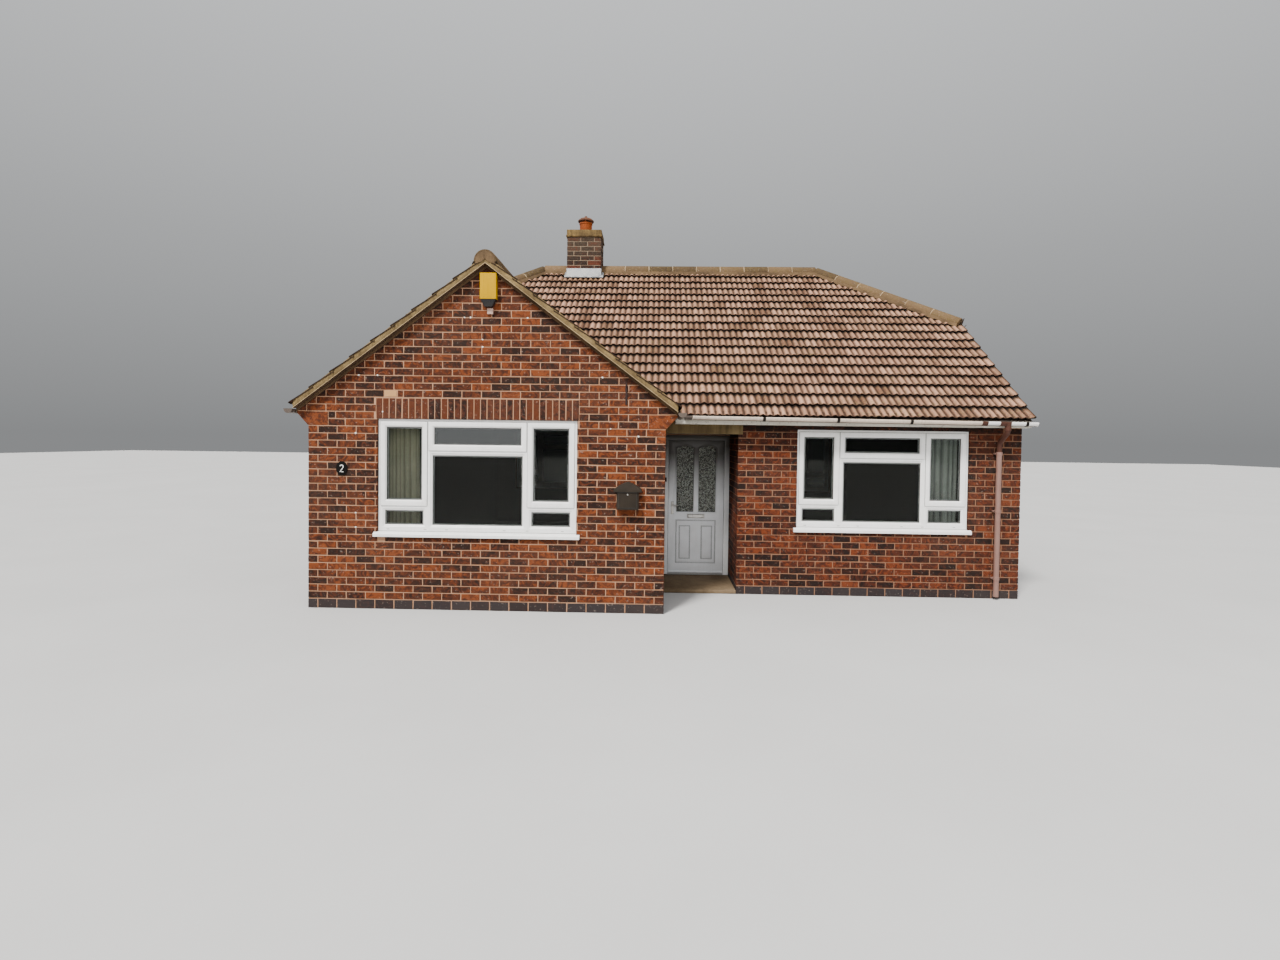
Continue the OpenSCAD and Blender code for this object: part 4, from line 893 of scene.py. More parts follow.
def buildWingFront():
    bag = newBag()
    left, right, front = house["wingLeft"], house["wingRight"], house["wingFront"]
    out, low, top = kneelers["out"], kneelers["low"], kneelers["top"]
    mortarBody(bag, "wing_front_wall", [
        (1, front, setBack), (0, left, setBack), (0, left - out, setBack),
        (0, right, -setBack), (0, right + out, -setBack),
        (0, winLeft, -setBack), (0, winRight, setBack)],
        inner=(1, front + house["wall"], 1))
    width = right - left
    outline = [(0, 0), (width, 0), (width, low), (width + out, top),
               (width + out, wingUnder(right + out)), (width / 2, wingUnder(house["wingMid"])),
               (-out, wingUnder(left - out)), (-out, top), (0, low)]
    big = courses["rise"] * 2 - courses["joint"]
    z0 = courseLine(24) + 0.005
    special = [(-out, 0.238, z0 - 0.005, z0 + big + 0.005),
               (width - 0.208, width + out, z0 - 0.005, z0 + big + 0.005)]
    window = (winLeft - left, winRight - left, winFoot, winTop)
    soldier = (winLeft - left - 0.023, winRight - left + 0.023, winTop, 2.4926)
    place = shifted(alongX(front, -1), left)
    pitch = width / 18.5
    layFace(bag, place, outline, width, 11, pitch, [window, soldier] + special, high=courseLine(24))
    # above the kneelers the wall is wider at first, then follows the verges
    wide = width + 2 * out
    upper = [(x + out, z) for x, z in outline]
    layFace(bag, shifted(place, -out), upper, wide, 12, wide / 19.5,
            [(a + out, b + out, c, d) for a, b, c, d in [window, soldier] + special],
            low=courseLine(24) + 0.02, high=4.2, first=24, swap=1, odd=(-3.49 - left + out, 2.54))
    rng = random.Random(13)
    for a, b, c, d in special:
        sides = (a, b - 0.005) if a < 0 else (a + 0.005, b)
        shape = clipToBox(outline, *sides, c + 0.005, d - 0.005)
        layBrick(bag, place, shape, courses["header"], (0.3, 0, 0), rng)
    for x, z in fillerPlugs:
        size = rng.uniform(0.8, 1.15)
        tubeAlong(bag, [(x, front + depth, z) for depth in (0.008, 0.0015, -0.0005, -0.0015)],
                  [0.0105 * size, 0.0095 * size, 0.007 * size, 0.003], 14, mat=3)
    makePiece("wingFrontBrickwork", bag, wallMats + [fillerMat], stands=("wing_front_wall",))


def buildSoldiers():
    # bricks on end over the wing window, cut to an even pitch
    bag = newBag()
    rng = random.Random(21)
    left, right, front = winLeft - 0.019, winRight + 0.019, house["wingFront"]
    low, high, count = winTop, 2.486, 31
    step = (right - left) / count
    softBox(bag, (left, front + setBack, low + 0.001), (right, front + 0.102, high - 0.001), 0.001)
    for i in range(count):
        a = left + step * i + (0.005 if i else 0)
        b = left + step * (i + 1) - (0.005 if i < count - 1 else 0)
        layBrick(bag, alongX(front, -1), rectangle(a, b, low, high - 0.0005), 0.06,
                 (rng.uniform(0.25, 0.95), 0, 0), rng)
    makePiece("windowSoldierCourse", bag, [mortarMat, soldierMat],
              stands=("soldier_course",))


def buildWingSides():
    bag = newBag()
    left, front, back = house["wingLeft"], house["wingFront"], -house["halfDepth"]
    mortarBody(bag, "wing_left_wall", [(0, left, setBack), (1, back, -setBack)],
               inner=(0, left + house["wall"], 1))
    top, width = wingUnder(left), back - front
    # seen from the left, the wall runs from the back to the front
    layWall(bag, shifted(alongY(left, -1), back, -1), width, top, 31, ends=("corner", "meets"), swap=1)
    layWall(bag, shifted(alongX(back, 1), left + 0.102, -1), 0.102, top, 32, ends=("open", "open"))
    makePiece("wingLeftBrickwork", bag, wallMats, stands=("wing_left_wall",))

    bag = newBag()
    right, door = house["wingRight"], house["doorFace"]
    mortarBody(bag, "wing_right_wall", [(0, right, -setBack)],
               inner=(0, right - house["wall"], -1))
    layWall(bag, shifted(alongY(right, 1), front), door - front, 2.34, 33, ends=("meets", "open"), swap=1)
    makePiece("wingRightBrickwork", bag, wallMats, stands=("wing_right_wall",))


def buildMainFront():
    bag = newBag()
    left, right, front = house["porchRight"], house["halfWidth"], -house["halfDepth"]
    mortarBody(bag, "main_front_wall", [
        (1, front, setBack), (0, left, setBack), (0, mainWinLeft, -setBack, jamb),
        (0, mainWinRight, setBack, jamb)], inner=(1, front + house["wall"], 1))
    mortarBody(bag, "porch_side_wall", [(0, left, setBack)],
               inner=(0, left + house["wall"], 1))
    width = right - left
    window = (mainWinLeft - left, mainWinRight - left, mainWinFoot, mainWinTop)
    lintel = (-0.01, 0.062, 2.122, 2.3)
    layWall(bag, shifted(alongX(front, -1), left), width, house["wallTop"], 41, width / 16,
            [window, lintel])
    depth = house["doorFace"] - front
    layWall(bag, shifted(alongY(left, -1), house["doorFace"], -1), depth, 2.14, 42,
            ends=("open", "meets"), holes=[(depth - 0.104, depth + 0.01, 2.122, 2.3)])
    makePiece("mainFrontBrickwork", bag, eavesMats,
              stands=("main_front_wall", "porch_side_wall"))

    bag = newBag()
    mortarBody(bag, "door_head_wall", [], inner=(1, house["doorFace"] + house["wall"], 1))
    makePiece("doorHeadMortar", bag, mainMats, stands=("door_head_wall",))


def buildGables():
    depth = house["halfDepth"]
    eaves = roofUnder(depth)
    hipTop = house["hipFoot"] - 0.075
    flat = roofUnder(0) - hipTop
    for side, label, seed in ((-1, "left", 51), (1, "right", 52)):
        bag = newBag()
        x = side * house["halfWidth"]
        planes = [(0, x, -side * setBack), (1, depth, -setBack)]
        if side > 0:
            planes.append((1, -depth, setBack))
        mortarBody(bag, label + "_gable_wall", planes, inner=(0, x - side * house["wall"], -side))
        width = 2 * depth
        half = flat / house["slope"]
        outline = [(0, 0), (width, 0), (width, eaves), (depth + half, hipTop), (depth - half, hipTop),
                   (0, eaves)]
        sign, start = (1, -depth) if side > 0 else (-1, depth)
        ends = ("meets", "meets") if side > 0 else ("meets", "open")
        layFace(bag, shifted(alongY(x, side), start, sign), outline, width, seed, width / 30.5,
                ends=ends, high=hipTop, swap=0 if side > 0 else 1)
        makePiece(label + "GableBrickwork", bag, mainMats, stands=(label + "_gable_wall",))


def buildBack():
    bag = newBag()
    half, depth = house["halfWidth"], house["halfDepth"]
    planes = [(1, depth, -setBack)]
    openings = []
    for x in (-mainWinRight, mainWinLeft):
        planes += [(0, x, -setBack, jamb), (0, x + mainWinWide, setBack, jamb)]
        openings.append((half - x - mainWinWide, half - x, mainWinFoot, mainWinTop))
    mortarBody(bag, "back_wall", planes, inner=(1, depth - house["wall"], -1))
    width = 2 * half
    layWall(bag, shifted(alongX(depth, 1), half, -1), width, house["wallTop"], 61, width / 38.5,
            openings)
    makePiece("backBrickwork", bag, eavesMats, stands=("back_wall",))


chimney = {"left": -2.055, "right": -1.435, "half": 0.27, "top": 5.7, "foot": 4.84}


def buildStack():
    bag = newBag()
    left, right, half = chimney["left"], chimney["right"], chimney["half"]
    mortarBody(bag, "chimney_stack", [
        (0, left, setBack), (0, right, -setBack), (1, -half, setBack), (1, half, -setBack)])
    width, depth, top, foot = right - left, 2 * half, chimney["top"], chimney["foot"]
    lift = (top - courses["start"]) % courses["rise"]
    for place, span, end, swap, seed in (
            (shifted(alongX(-half, -1), left), width, "corner", 0, 71),
            (shifted(alongX(half, 1), right, -1), width, "corner", 1, 72),
            (shifted(alongY(right, 1), -half), depth, "meets", 0, 73),
            (shifted(alongY(left, -1), half, -1), depth, "meets", 1, 74)):

        def raised(u, z, behind):
            return place(u, z + lift, behind)

        layFace(bag, raised, rectangle(0, span, foot - lift, top - lift),
                span, seed, span / (2.5 if span > 0.6 else 2.36), low=foot - lift, high=top - lift,
                ends=(end, end), swap=swap, first=50)
    makePiece("chimneyBrickwork", bag, [stackMortarMat, stackMat], stands=("chimney_stack",))


buildWingFront()
buildSoldiers()
buildWingSides()
buildMainFront()
buildGables()
buildBack()
buildStack()
print("brickwork laid")

# Roof tiles: one big and one small roll each, laid course by course from the eaves
tiles = {"width": 0.1845, "gauge": 0.26, "wingGauge": 0.3, "big": 0.025, "small": 0.02,
         "step": 0.026, "thick": 0.028, "lap": 0.05, "bed": 0.0585, "edge": 0.011, "loose": 0.0022,
         "uneven": 0.003, "dirtAndShade": 0.8}
acrossTile = np.array([0.0, 0.05, 0.12, 0.19, 0.26, 0.33, 0.40, 0.47, 0.53, 0.60, 0.67, 0.74, 0.81,
                       0.88, 0.95, 1.0, 1.02])


def rollHeight(t):
    def hump(x):
        return np.cos(np.clip(x, -1, 1) * np.pi / 2) ** 2
    big = hump((t - 0.26) / 0.25)
    small = hump((t - 0.76) / 0.22)
    return tiles["big"] * big + tiles["small"] * small - tiles["big"]


def tileSlope(bag, foot, across, up, width, length, gauge, seed, verges=(False, False)):
    # foot is the left end of the eaves edge on the plane of the tile noses
    rng = np.random.default_rng(seed)
    foot, across, up = vectors(foot, across, up)
    normal = unit(np.cross(across, up))
    count = max(1, round(width / tiles["width"]))
    tileW = width / count
    t = acrossTile
    n = len(t)
    profile = rollHeight(t)
    profile[-1] -= 0.004
    # tone red is lighter on the roll tops; the troughs between the rolls get painted shade
    raised = (profile + tiles["big"]) / tiles["big"]
    trough = np.clip(1 - raised / 0.5, 0, 1) * tiles["dirtAndShade"]
    rows = math.ceil(length / gauge)
    wander = np.cumsum(rng.normal(0, 0.0005, (rows, count)), axis=1)
    for row in range(rows):
        start = row * gauge
        head = min(gauge + tiles["lap"], length - start + 0.004)
        if head < 0.03:
            continue
        for col in range(count):
            lift = -abs(rng.normal(0, tiles["loose"])) + np.clip(wander[row, col], -0.002, 0.0)
            slip = rng.normal(0, tiles["uneven"])
            if row == 0:
                slip *= 0.4
            turn = rng.normal(0, 0.0014)
            u = (col + t) * tileW
            u[-1] = min(u[-1], width)
            u[0] = max(u[0], 0.0)
            shade = float(np.clip(rng.normal(0.5, 0.2), 0, 1))
            sAlong = slip + turn * (t - 0.5) * 2
            slope = -tiles["step"] / gauge
            top = profile + lift
            if verges[0] and col == 0:
                top = np.maximum(top, np.interp(t, [0, 0.12, 0.2], [-0.001, -0.003, -0.03]))
            if verges[1] and col == count - 1:
                top = np.maximum(top, np.interp(t, [0.74, 0.86, 1.0], [-0.03, -0.003, -0.001]))
            # the nose face is painted dark as shade; under the next course's nose the tile gets painted
            # shade with some grime
            ring = [
                (sAlong + 0.007, top - tiles["thick"] * 0.8, 1.0, 0.0),
                (sAlong, top - 0.008, 0.95, 0.0),
                (sAlong + 0.003, top - 0.0018, 0.9, 0.0),
                (sAlong + 0.017, top + slope * 0.017, 0.0, 0.05),
                (np.full(n, gauge * 0.66) + sAlong * 0.5, top + slope * gauge * 0.66, 0.0, 0.5),
                *((np.full(n, min(head, gauge * k)), top + slope * gauge * k, lip, blue)
                  for k, lip, blue in ((0.84, 0.45, 0.8), (0.91, 0.95, 0.95))),
                (np.full(n, head), top + slope * head, 0.95, 1.0)]
            verts, tones = [], []
            for s, lowered, lip, blue in ring:
                points = (foot + np.outer(u, across) + np.outer(start + s, up)
                          + np.outer(np.minimum(lowered, -0.0002), normal))
                verts.append(points)
                tones.append(np.stack([shade + 0.3 * (raised - 0.5), lip + (1 - lip) * trough,
                                       np.full(n, blue)], 1))
            verts, tones = np.vstack(verts), np.vstack(tones)
            addPart(bag, verts, gridFaces(len(ring), n), tones)
            if col in (0, count - 1):
                # the tile's thickness shows at a verge, painted dark as shade
                end = 0 if col == 0 else n - 1
                rim = [k * n + end for k in range(1, len(ring))]
                side = np.vstack([verts[rim], verts[rim] - normal * tiles["edge"]])
                addPart(bag, side, gridFaces(2, len(rim)), (shade, 0.95, 0.2))
        if row == 0:
            # a dark strip under the first course: painted shade in the gaps beneath its rolls
            a = foot - normal * 0.03 + up * 0.006
            b = a + across * width
            addPart(bag, [a, b, b + up * 0.09, a + up * 0.09], [(0, 1, 2, 3)], (0.3, 0.8, 0.6))


def underlay(bag, node, point, normal, pull=()):
    # the covering below the tiles: the solid's mesh with its stepped top pressed down
    verts, faces = cadShape(node)
    point, normal = vectors(point, normal)
    normal = unit(normal)
    below = (point - verts) @ normal
    verts += np.outer(np.minimum(below - tiles["bed"], 0.0), normal)
    for axis, value, sign, to in pull:
        past = (verts[:, axis] - value) * sign > 0
        verts[past, axis] = to
    addPart(bag, verts, faces, (0.3, 0.6, 0.5), 1)


def cutPart(bag, planes):
    # keeps what lies behind every plane, each a point and an outward direction
    mesh = makeMesh("cutting", bag, [])
    shape = bmesh.new()
    shape.from_mesh(mesh)
    bpy.data.meshes.remove(mesh)
    for point, outward in planes:
        bmesh.ops.bisect_plane(shape, geom=shape.verts[:] + shape.edges[:] + shape.faces[:],
                               dist=1e-5, plane_co=point, plane_no=outward, clear_outer=True)
    shape.verts.ensure_lookup_table()
    layer = shape.verts.layers.float_color["tone"]
    verts = [v.co.copy() for v in shape.verts]
    tones = [list(v[layer])[:3] for v in shape.verts]
    faces = [[v.index for v in f.verts] for f in shape.faces]
    shape.free()
    return verts, faces, tones


def addCut(bag, source, planes):
    verts, faces, tones = cutPart(source, planes)
    if verts:
        addPart(bag, verts, faces, tones)


def slopeVector(dx, dy):
    # up the slope, for a plan direction towards the ridge
    return unit(np.array([dx, dy, math.hypot(dx, dy) * house["slope"]]))


roofMats = [tileMat, feltMat]
slant = math.sqrt(1 + house["slope"] ** 2)


def buildMainRoof():
    edge, apex, verge = house["eavesEdge"], house["apex"], house["gableVerge"]
    ridge, hipY, half = house["ridgeHalf"], house["hipY"], house["halfWidth"]
    mid, top = house["wingMid"], house["valleyTop"]
    for sign, label, seed in ((-1, "front", 101), (1, "back", 102)):
        full, bag = newBag(), newBag()
        tileSlope(full, (sign * verge, sign * edge, apex - edge * house["slope"]), (-sign, 0, 0),
                  slopeVector(0, -sign), 2 * verge, edge * slant, tiles["gauge"], seed, (True, True))
        node = "main_roof_" + label
        underlay(bag, node, (0, 0, apex), (0, sign * house["slope"], 1),
                 pull=((0, half, 1, half), (0, -half, -1, -half)))
        ends = [((side * ridge, 0, 0), (side * hipY, -sign * house["hipRun"], 0)) for side in (1, -1)]
        if sign < 0:
            for side in (-1, 1):  # on either side of the wing's ridge, down to its valley
                addCut(bag, full, ends + [((mid, 0, 0), (side, 0, 0)), ((mid, top, 0), (side, -1, 0))])
        else:
            addCut(bag, full, ends)
        makePiece(label + "SlopeTiles", bag, roofMats, stands=(node,), smooth=40)


def buildHalfHips():
    ridge, run, apex, hipY = house["ridgeHalf"], house["hipRun"], house["apex"], house["hipY"]
    steep = (apex - house["hipFoot"]) / run
    for side, label in ((-1, "left"), (1, "right")):
        up = np.array([-side, 0, steep]) / math.hypot(1, steep)
        full, bag = newBag(), newBag()
        tileSlope(full, (side * (ridge + run), -side * hipY, house["hipFoot"]), (0, side, 0), up,
                  2 * hipY, math.hypot(run, apex - house["hipFoot"]), tiles["gauge"], 111 + side)
        node = "half_hip_" + label
        underlay(bag, node, (side * ridge, 0, apex), (side * steep, 0, 1))
        addCut(bag, full, [((side * ridge, 0, 0), (-side * hipY, way * run, 0)) for way in (-1, 1)])
        makePiece(label + "HalfHipTiles", bag, roofMats, stands=(node,), smooth=40)


def buildWingRoof():
    mid, edge, apex, verge = house["wingMid"], house["wingEdge"], house["wingApex"], house["wingVerge"]
    top, line, back, front = house["valleyTop"], -house["gableVerge"], -1.2, house["wingFront"]
    far = top - (mid - line)
    for side, label in ((1, "Right"), (-1, "Left")):
        full, bag = newBag(), newBag()
        tileSlope(full, (mid + side * edge, verge if side > 0 else back, apex - edge * house["slope"]),
                  (0, side, 0), slopeVector(-side, 0), back - verge, edge * slant, tiles["wingGauge"],
                  120 + side, (side > 0, side < 0))
        node = "wing_roof_" + label.lower()
        underlay(bag, node, (mid, 0, apex), (side * house["slope"], 0, 1), pull=((1, front, -1, front),))
        valley = ((mid, top, 0), (side, 1, 0))
        if side > 0:
            addCut(bag, full, [valley])
        else:
            addCut(bag, full, [valley, ((line, 0, 0), (-1, 0, 0))])
            addCut(bag, full, [((line, 0, 0), (1, 0, 0)), ((0, far, 0), (0, 1, 0))])
        makePiece(f"wing{label}Tiles", bag, roofMats, stands=(node,), smooth=40)


# Ridge and hip tiles, half round, butted with mortar between and along them
ridges = {"length": 0.45, "joint": 0.012, "wide": 0.13, "hipWide": 0.11}
ridgeMats = [ridgeMat, stripMat, jointMat]
halfRound = np.linspace(-0.32, math.pi + 0.32, 19)


def halfRoundRun(bag, start, end, radius, seed):
    rng = np.random.default_rng(seed)
    start, end = vectors(start, end)
    length, run, level, above = axesAlong(start, end)
    count = max(1, round(length / ridges["length"]))
    each = length / count
    n = len(halfRound)
    for i in range(count):
        a = i * each + (ridges["joint"] / 2 if i else 0)
        b = (i + 1) * each - (ridges["joint"] / 2 if i < count - 1 else 0)
        shade = float(np.clip(rng.normal(0.45, 0.3), 0, 1))
        drop = abs(rng.normal(0, 0.0015))
        skew = rng.normal(0, 0.0025)
        verts, tones = [], []
        # each tile's ends get painted shade beside the joints
        rings = [(a, radius - 0.018, 0.5), (a, radius - 0.003, 0.3), (a + 0.004, radius, 0.0),
                 ((a + b) / 2, radius, 0.0), (b - 0.004, radius, 0.0), (b, radius - 0.003, 0.3),
                 (b, radius - 0.018, 0.5)]
        for s, r, lip in rings:
            for angle in halfRound:
                side, high = math.cos(angle), math.sin(angle)
                verts.append(start + run * s + level * (side * r + skew * (s - a) / each)
                             + above * (high * r - drop))
                tones.append((shade, lip, 0.25 + 0.3 * (1 - high)))
        addPart(bag, verts, gridFaces(len(rings), n), tones)
        if i < count - 1:
            # the mortar in the joint
            verts = []
            for s in (b - 0.003, b + ridges["joint"] + 0.003):
                for angle in halfRound:
                    r = radius - 0.004 + rng.normal(0, 0.0012)
                    verts.append(start + run * s + level * (math.cos(angle) * r)
                                 + above * (math.sin(angle) * r - drop))
            addPart(bag, verts, gridFaces(2, n), mat=2)


def endPlug(bag, at, run, radius, seed):
    # mortar that fills the open end of a run of half-round tiles
    rng = np.random.default_rng(seed)
    at, run = vectors(at, run)
    run, level, above = axesAlong(0 * run, run)[1:]
    verts = [at - run * 0.004 + above * 0.02]
    for share, back in ((0.35, 0.005), (0.7, 0.003), (1.0, -0.001)):
        r = (radius - 0.016) * share
        for angle in halfRound:
            verts.append(at + level * (math.cos(angle) * r) + above * (math.sin(angle) * r)
                         - run * (back + rng.normal(0, 0.0007)))
    n = len(halfRound)
    fan = [(0, 1 + j, 2 + j) for j in range(n - 1)]
    addPart(bag, verts, fan + gridFaces(3, n, turned=True, first=1), mat=1)


def beddingStrip(bag, start, end, outward, lower, seed, drop=0.07, out=0.03):
    # rough mortar along the foot of the ridge tiles, pressed down on to the rolls
    rng = np.random.default_rng(seed)
    start, end, outward, lower = vectors(start, end, outward, lower)
    length = np.linalg.norm(end - start)
    count = max(4, int(length / 0.03))
    rough = np.convolve(rng.normal(0, 1, count + 5), np.ones(3) / 3, "same")[:count + 1]
    verts = []
    for i in range(count + 1):
        p = start + (end - start) * i / count
        wide = out + 0.006 * rough[i]
        deep = drop + 0.006 * rng.normal()
        verts += [p, p + outward * wide * 0.55 + lower * deep * 0.3, p + outward * wide + lower * deep]
    addPart(bag, verts, gridFaces(count + 1, 3), mat=1)


def buildRidges():
    ridge, apex, wide = house["ridgeHalf"], house["apex"], ridges["wide"]
    run, hipY, foot = house["hipRun"], house["hipY"], house["hipFoot"]
    down, z = (0, 0, -1), apex - 0.08
    bag = newBag()
    for a, b, seed in ((-ridge, chimney["left"], 201), (chimney["right"], ridge, 202)):
        halfRoundRun(bag, (a, 0, z), (b, 0, z), wide, seed)
        for s in (-1, 1):
            beddingStrip(bag, (a, s * 0.126, z + 0.006), (b, s * 0.126, z + 0.006), (0, s, 0), down,
                         210 + s)
    makePiece("mainRidgeTiles", bag, ridgeMats, stands=("ridge_tiles",), smooth=50)

    bag = newBag()
    for sx, sy in ((-1, -1), (-1, 1), (1, -1), (1, 1)):
        low = np.array((sx * (ridge + run - 0.03), sy * (hipY - 0.025), foot - 0.04))
        high = np.array((sx * (ridge + 0.02), sy * 0.017, apex - 0.073))
        halfRoundRun(bag, low, high, ridges["hipWide"], 220 + sx * 2 + sy)
        endPlug(bag, low, high - low, ridges["hipWide"], 260 + sx * 2 + sy)
        level = axesAlong(low, high)[2]
        for s in (-1, 1):
            aside = level * s * 0.107 + (0, 0, 0.01)
            beddingStrip(bag, low + aside, high + aside, level * s, down, 230 + s + sx, 0.06, 0.028)
    makePiece("hipTileRuns", bag, ridgeMats, stands=("hip_tiles",), smooth=50)

    bag = newBag()
    mid, z, front, top = house["wingMid"], house["wingApex"] - 0.08, house["wingVerge"], house["valleyTop"]
    halfRoundRun(bag, (mid, front, z), (mid, top - 0.02, z), wide, 240)
    for s in (-1, 1):
        beddingStrip(bag, (mid + s * 0.126, front + 0.01, z + 0.006),
                     (mid + s * 0.126, top - 0.1, z + 0.006), (s, 0, 0), down, 250 + s)
    endPlug(bag, (mid, front, z), (0, 1, 0), wide, 251)
    makePiece("wingRidgeTiles", bag, ridgeMats, stands=("wing_ridge_tiles",), smooth=50)


# Verges: mortar between the tile edges and a thin undercloak board
verge = {"top": 0.013, "bottom": 0.098, "board": 0.008, "wave": 0.0014}


def vergeBand(bag, peak, foot, outward, depthIn, gauge, seed, bottom, mat=0):
    # peak and foot lie on the plane of the tile noses; outward points out of the gable
    rng = np.random.default_rng(seed)
    peak, foot, outward = vectors(peak, foot, outward)
    length = np.linalg.norm(peak - foot)
    along = (peak - foot) / length
    count = int(length / 0.02)
    down = np.array((0, 0, -1.0))
    levels = np.linspace(0, 1, 5)
    verts = []
    for i in range(count + 1):
        s = length * i / count
        joint = abs(((s + 0.5 * gauge) % gauge) - 0.5 * gauge)
        nick = 0.006 * max(0.0, 1 - joint / 0.012)
        stepUp = 0.006 * (1 - (s % gauge) / gauge)
        for level in levels:
            bulge = 0.006 * math.sin(level * math.pi) + rng.normal(0, verge["wave"])
            depth = verge["top"] + stepUp + (bottom - verge["top"] - stepUp) * level
            verts.append(foot + along * s + down * depth - outward * (0.011 + nick - bulge))
    n = len(levels)
    for i in range(count + 1):
        verts.append(verts[i * n + n - 1] - outward * (depthIn - 0.011))
    faces = []
    for i in range(count):
        for k in range(n - 1):
            faces.append((i * n + k, (i + 1) * n + k, (i + 1) * n + k + 1, i * n + k + 1))
        base = (count + 1) * n
        faces.append((i * n + n - 1, (i + 1) * n + n - 1, base + i + 1, base + i))
    addPart(bag, verts, faces, mat=mat)


def rakeBoard(bag, peak, foot, outward, depthIn, top, thick, inset, mat):
    peak, foot, outward = vectors(peak, foot, outward)
    down = np.array((0, 0, -1.0))
    verts = []
    for p in (foot, peak):
        for out in (inset, depthIn):
            for d in (top, top + thick):
                verts.append(p - outward * out + down * d)
    faces = [(0, 1, 5, 4), (2, 6, 7, 3), (0, 4, 6, 2), (0, 2, 3, 1), (4, 5, 7, 6)]
    addPart(bag, verts, faces, mat=mat)
    # the underside gets the dark underside finish: painted shade
    addPart(bag, verts, [(1, 3, 7, 5)], mat=3)


def buildVerges():
    bag = newBag()
    mid, apex, front = house["wingMid"], house["wingApex"], house["wingVerge"]
    ahead, drop = (0, -1, 0), Vector((0, 0, -0.129))
    reach = 2.105 + kneelers["out"]
    for side in (-1, 1):
        ends = [[(mid, y, apex), (mid + side * reach, y, apex - reach * house["slope"])]
                for y in (front, house["wingFront"])]
        vergeBand(bag, *ends[0], ahead, 0.1, tiles["wingGauge"], 300 + side, verge["bottom"])
        rakeBoard(bag, *ends[0], ahead, 0.1, verge["bottom"], verge["board"], 0.008, 1)
        # a dark brown fillet on the brickwork under the board, partly painted shade beneath the verge, and
        # a line of pointing
        rakeBoard(bag, *ends[1], ahead, 0.001, 0.1, 0.042, -0.014, 4)
        vergeBand(bag, *(Vector(p) + drop for p in ends[1]), ahead, 0.03, 9.0, 310 + side, 0.027, 2)
    edge, apex, hipY = house["halfDepth"], house["apex"], house["hipY"]
    for sx in (-1, 1):
        x = sx * house["gableVerge"]
        for sy in (-1, 1):
            peak = (x, sy * hipY, apex - hipY * house["slope"])
            foot = (x, sy * edge, apex - edge * house["slope"])
            vergeBand(bag, peak, foot, (sx, 0, 0), 0.04, tiles["gauge"], 320 + sx * 2 + sy,
                      verge["bottom"])
            rakeBoard(bag, peak, foot, (sx, 0, 0), 0.04, verge["bottom"], verge["board"], 0.004, 1)
    makePiece("vergeMortar", bag, [vergeMat, undercloakMat, mortarMat, undersideShadeMat, filletMat],
              stands=("verges",), smooth=40)


buildMainRoof()
buildHalfHips()
buildWingRoof()
buildRidges()
buildVerges()
print("roof tiled")

# Windows: welded plastic frames with rebated sashes and sealed units
windowForm = {"frame": 0.062, "mullion": 0.076, "depth": 0.065, "reveal": 0.028, "sash": 0.034,
              "lap": 0.032, "vent": 0.271, "base": 0.2, "sillH": 0.062,
              "sillOut": 0.032, "horn": 0.04, "pane": 0.004, "unit": 0.0205, "unitBack": 0.0405}
windows = [
    {"name": "wing", "x": winLeft, "face": house["wingFront"], "z": winFoot, "w": winRight - winLeft,
     "h": winTop - winFoot, "side": 0.488, "turn": 1},
    {"name": "main", "x": mainWinLeft, "face": -house["halfDepth"], "z": mainWinFoot,
     "w": mainWinWide, "h": mainWinTop - mainWinFoot, "side": 0.46, "turn": 1},
]
for rearName, rearX in (("rearLeft", -mainWinLeft), ("rearRight", mainWinRight)):
    windows.append(dict(windows[1], name=rearName, x=rearX, face=house["halfDepth"], turn=-1))


def placeIn(window):
    turn = window["turn"]

    def place(x, y, z):
        return (window["x"] + turn * x, window["face"] + turn * (windowForm["reveal"] + y),
                window["z"] + z)
    return place


def cellsOf(window):
    # left, right, bottom and top of each light, and how it opens
    form = windowForm
    z0 = form["sillH"] + form["frame"]
    z1 = window["h"] - form["frame"]
    x1 = form["frame"] + window["side"]
    x2 = x1 + form["mullion"]
    x3 = window["w"] - form["frame"] - window["side"]
    low = z0 + form["base"] + form["mullion"]
    return [(form["frame"], x1, z0, z0 + form["base"], None), (form["frame"], x1, low, z1, "left"),
            (x2, x3 - form["mullion"], z0, z1 - form["vent"] - form["mullion"], None),
            (x2, x3 - form["mullion"], z1 - form["vent"], z1, "top"),
            (x3, window["w"] - form["frame"], z0, z0 + form["base"], None),
            (x3, window["w"] - form["frame"], low, z1, "right")]


def layBar(bag, place, upright, start, end, low):
    wide, deep = windowForm["mullion"], windowForm["depth"]
    section = [(0.0, deep), (0.0, 0.007), (0.010, 0.0), (wide - 0.010, 0.0), (wide, 0.007), (wide, deep)]
    verts = []
    for at in (start, end):
        for across, deep in section:
            verts.append(place(low + across, deep, at) if upright else place(at, deep, low + across))
    faces = gridFaces(2, len(section), True)
    addPart(bag, verts, faces if upright else [f[::-1] for f in faces])


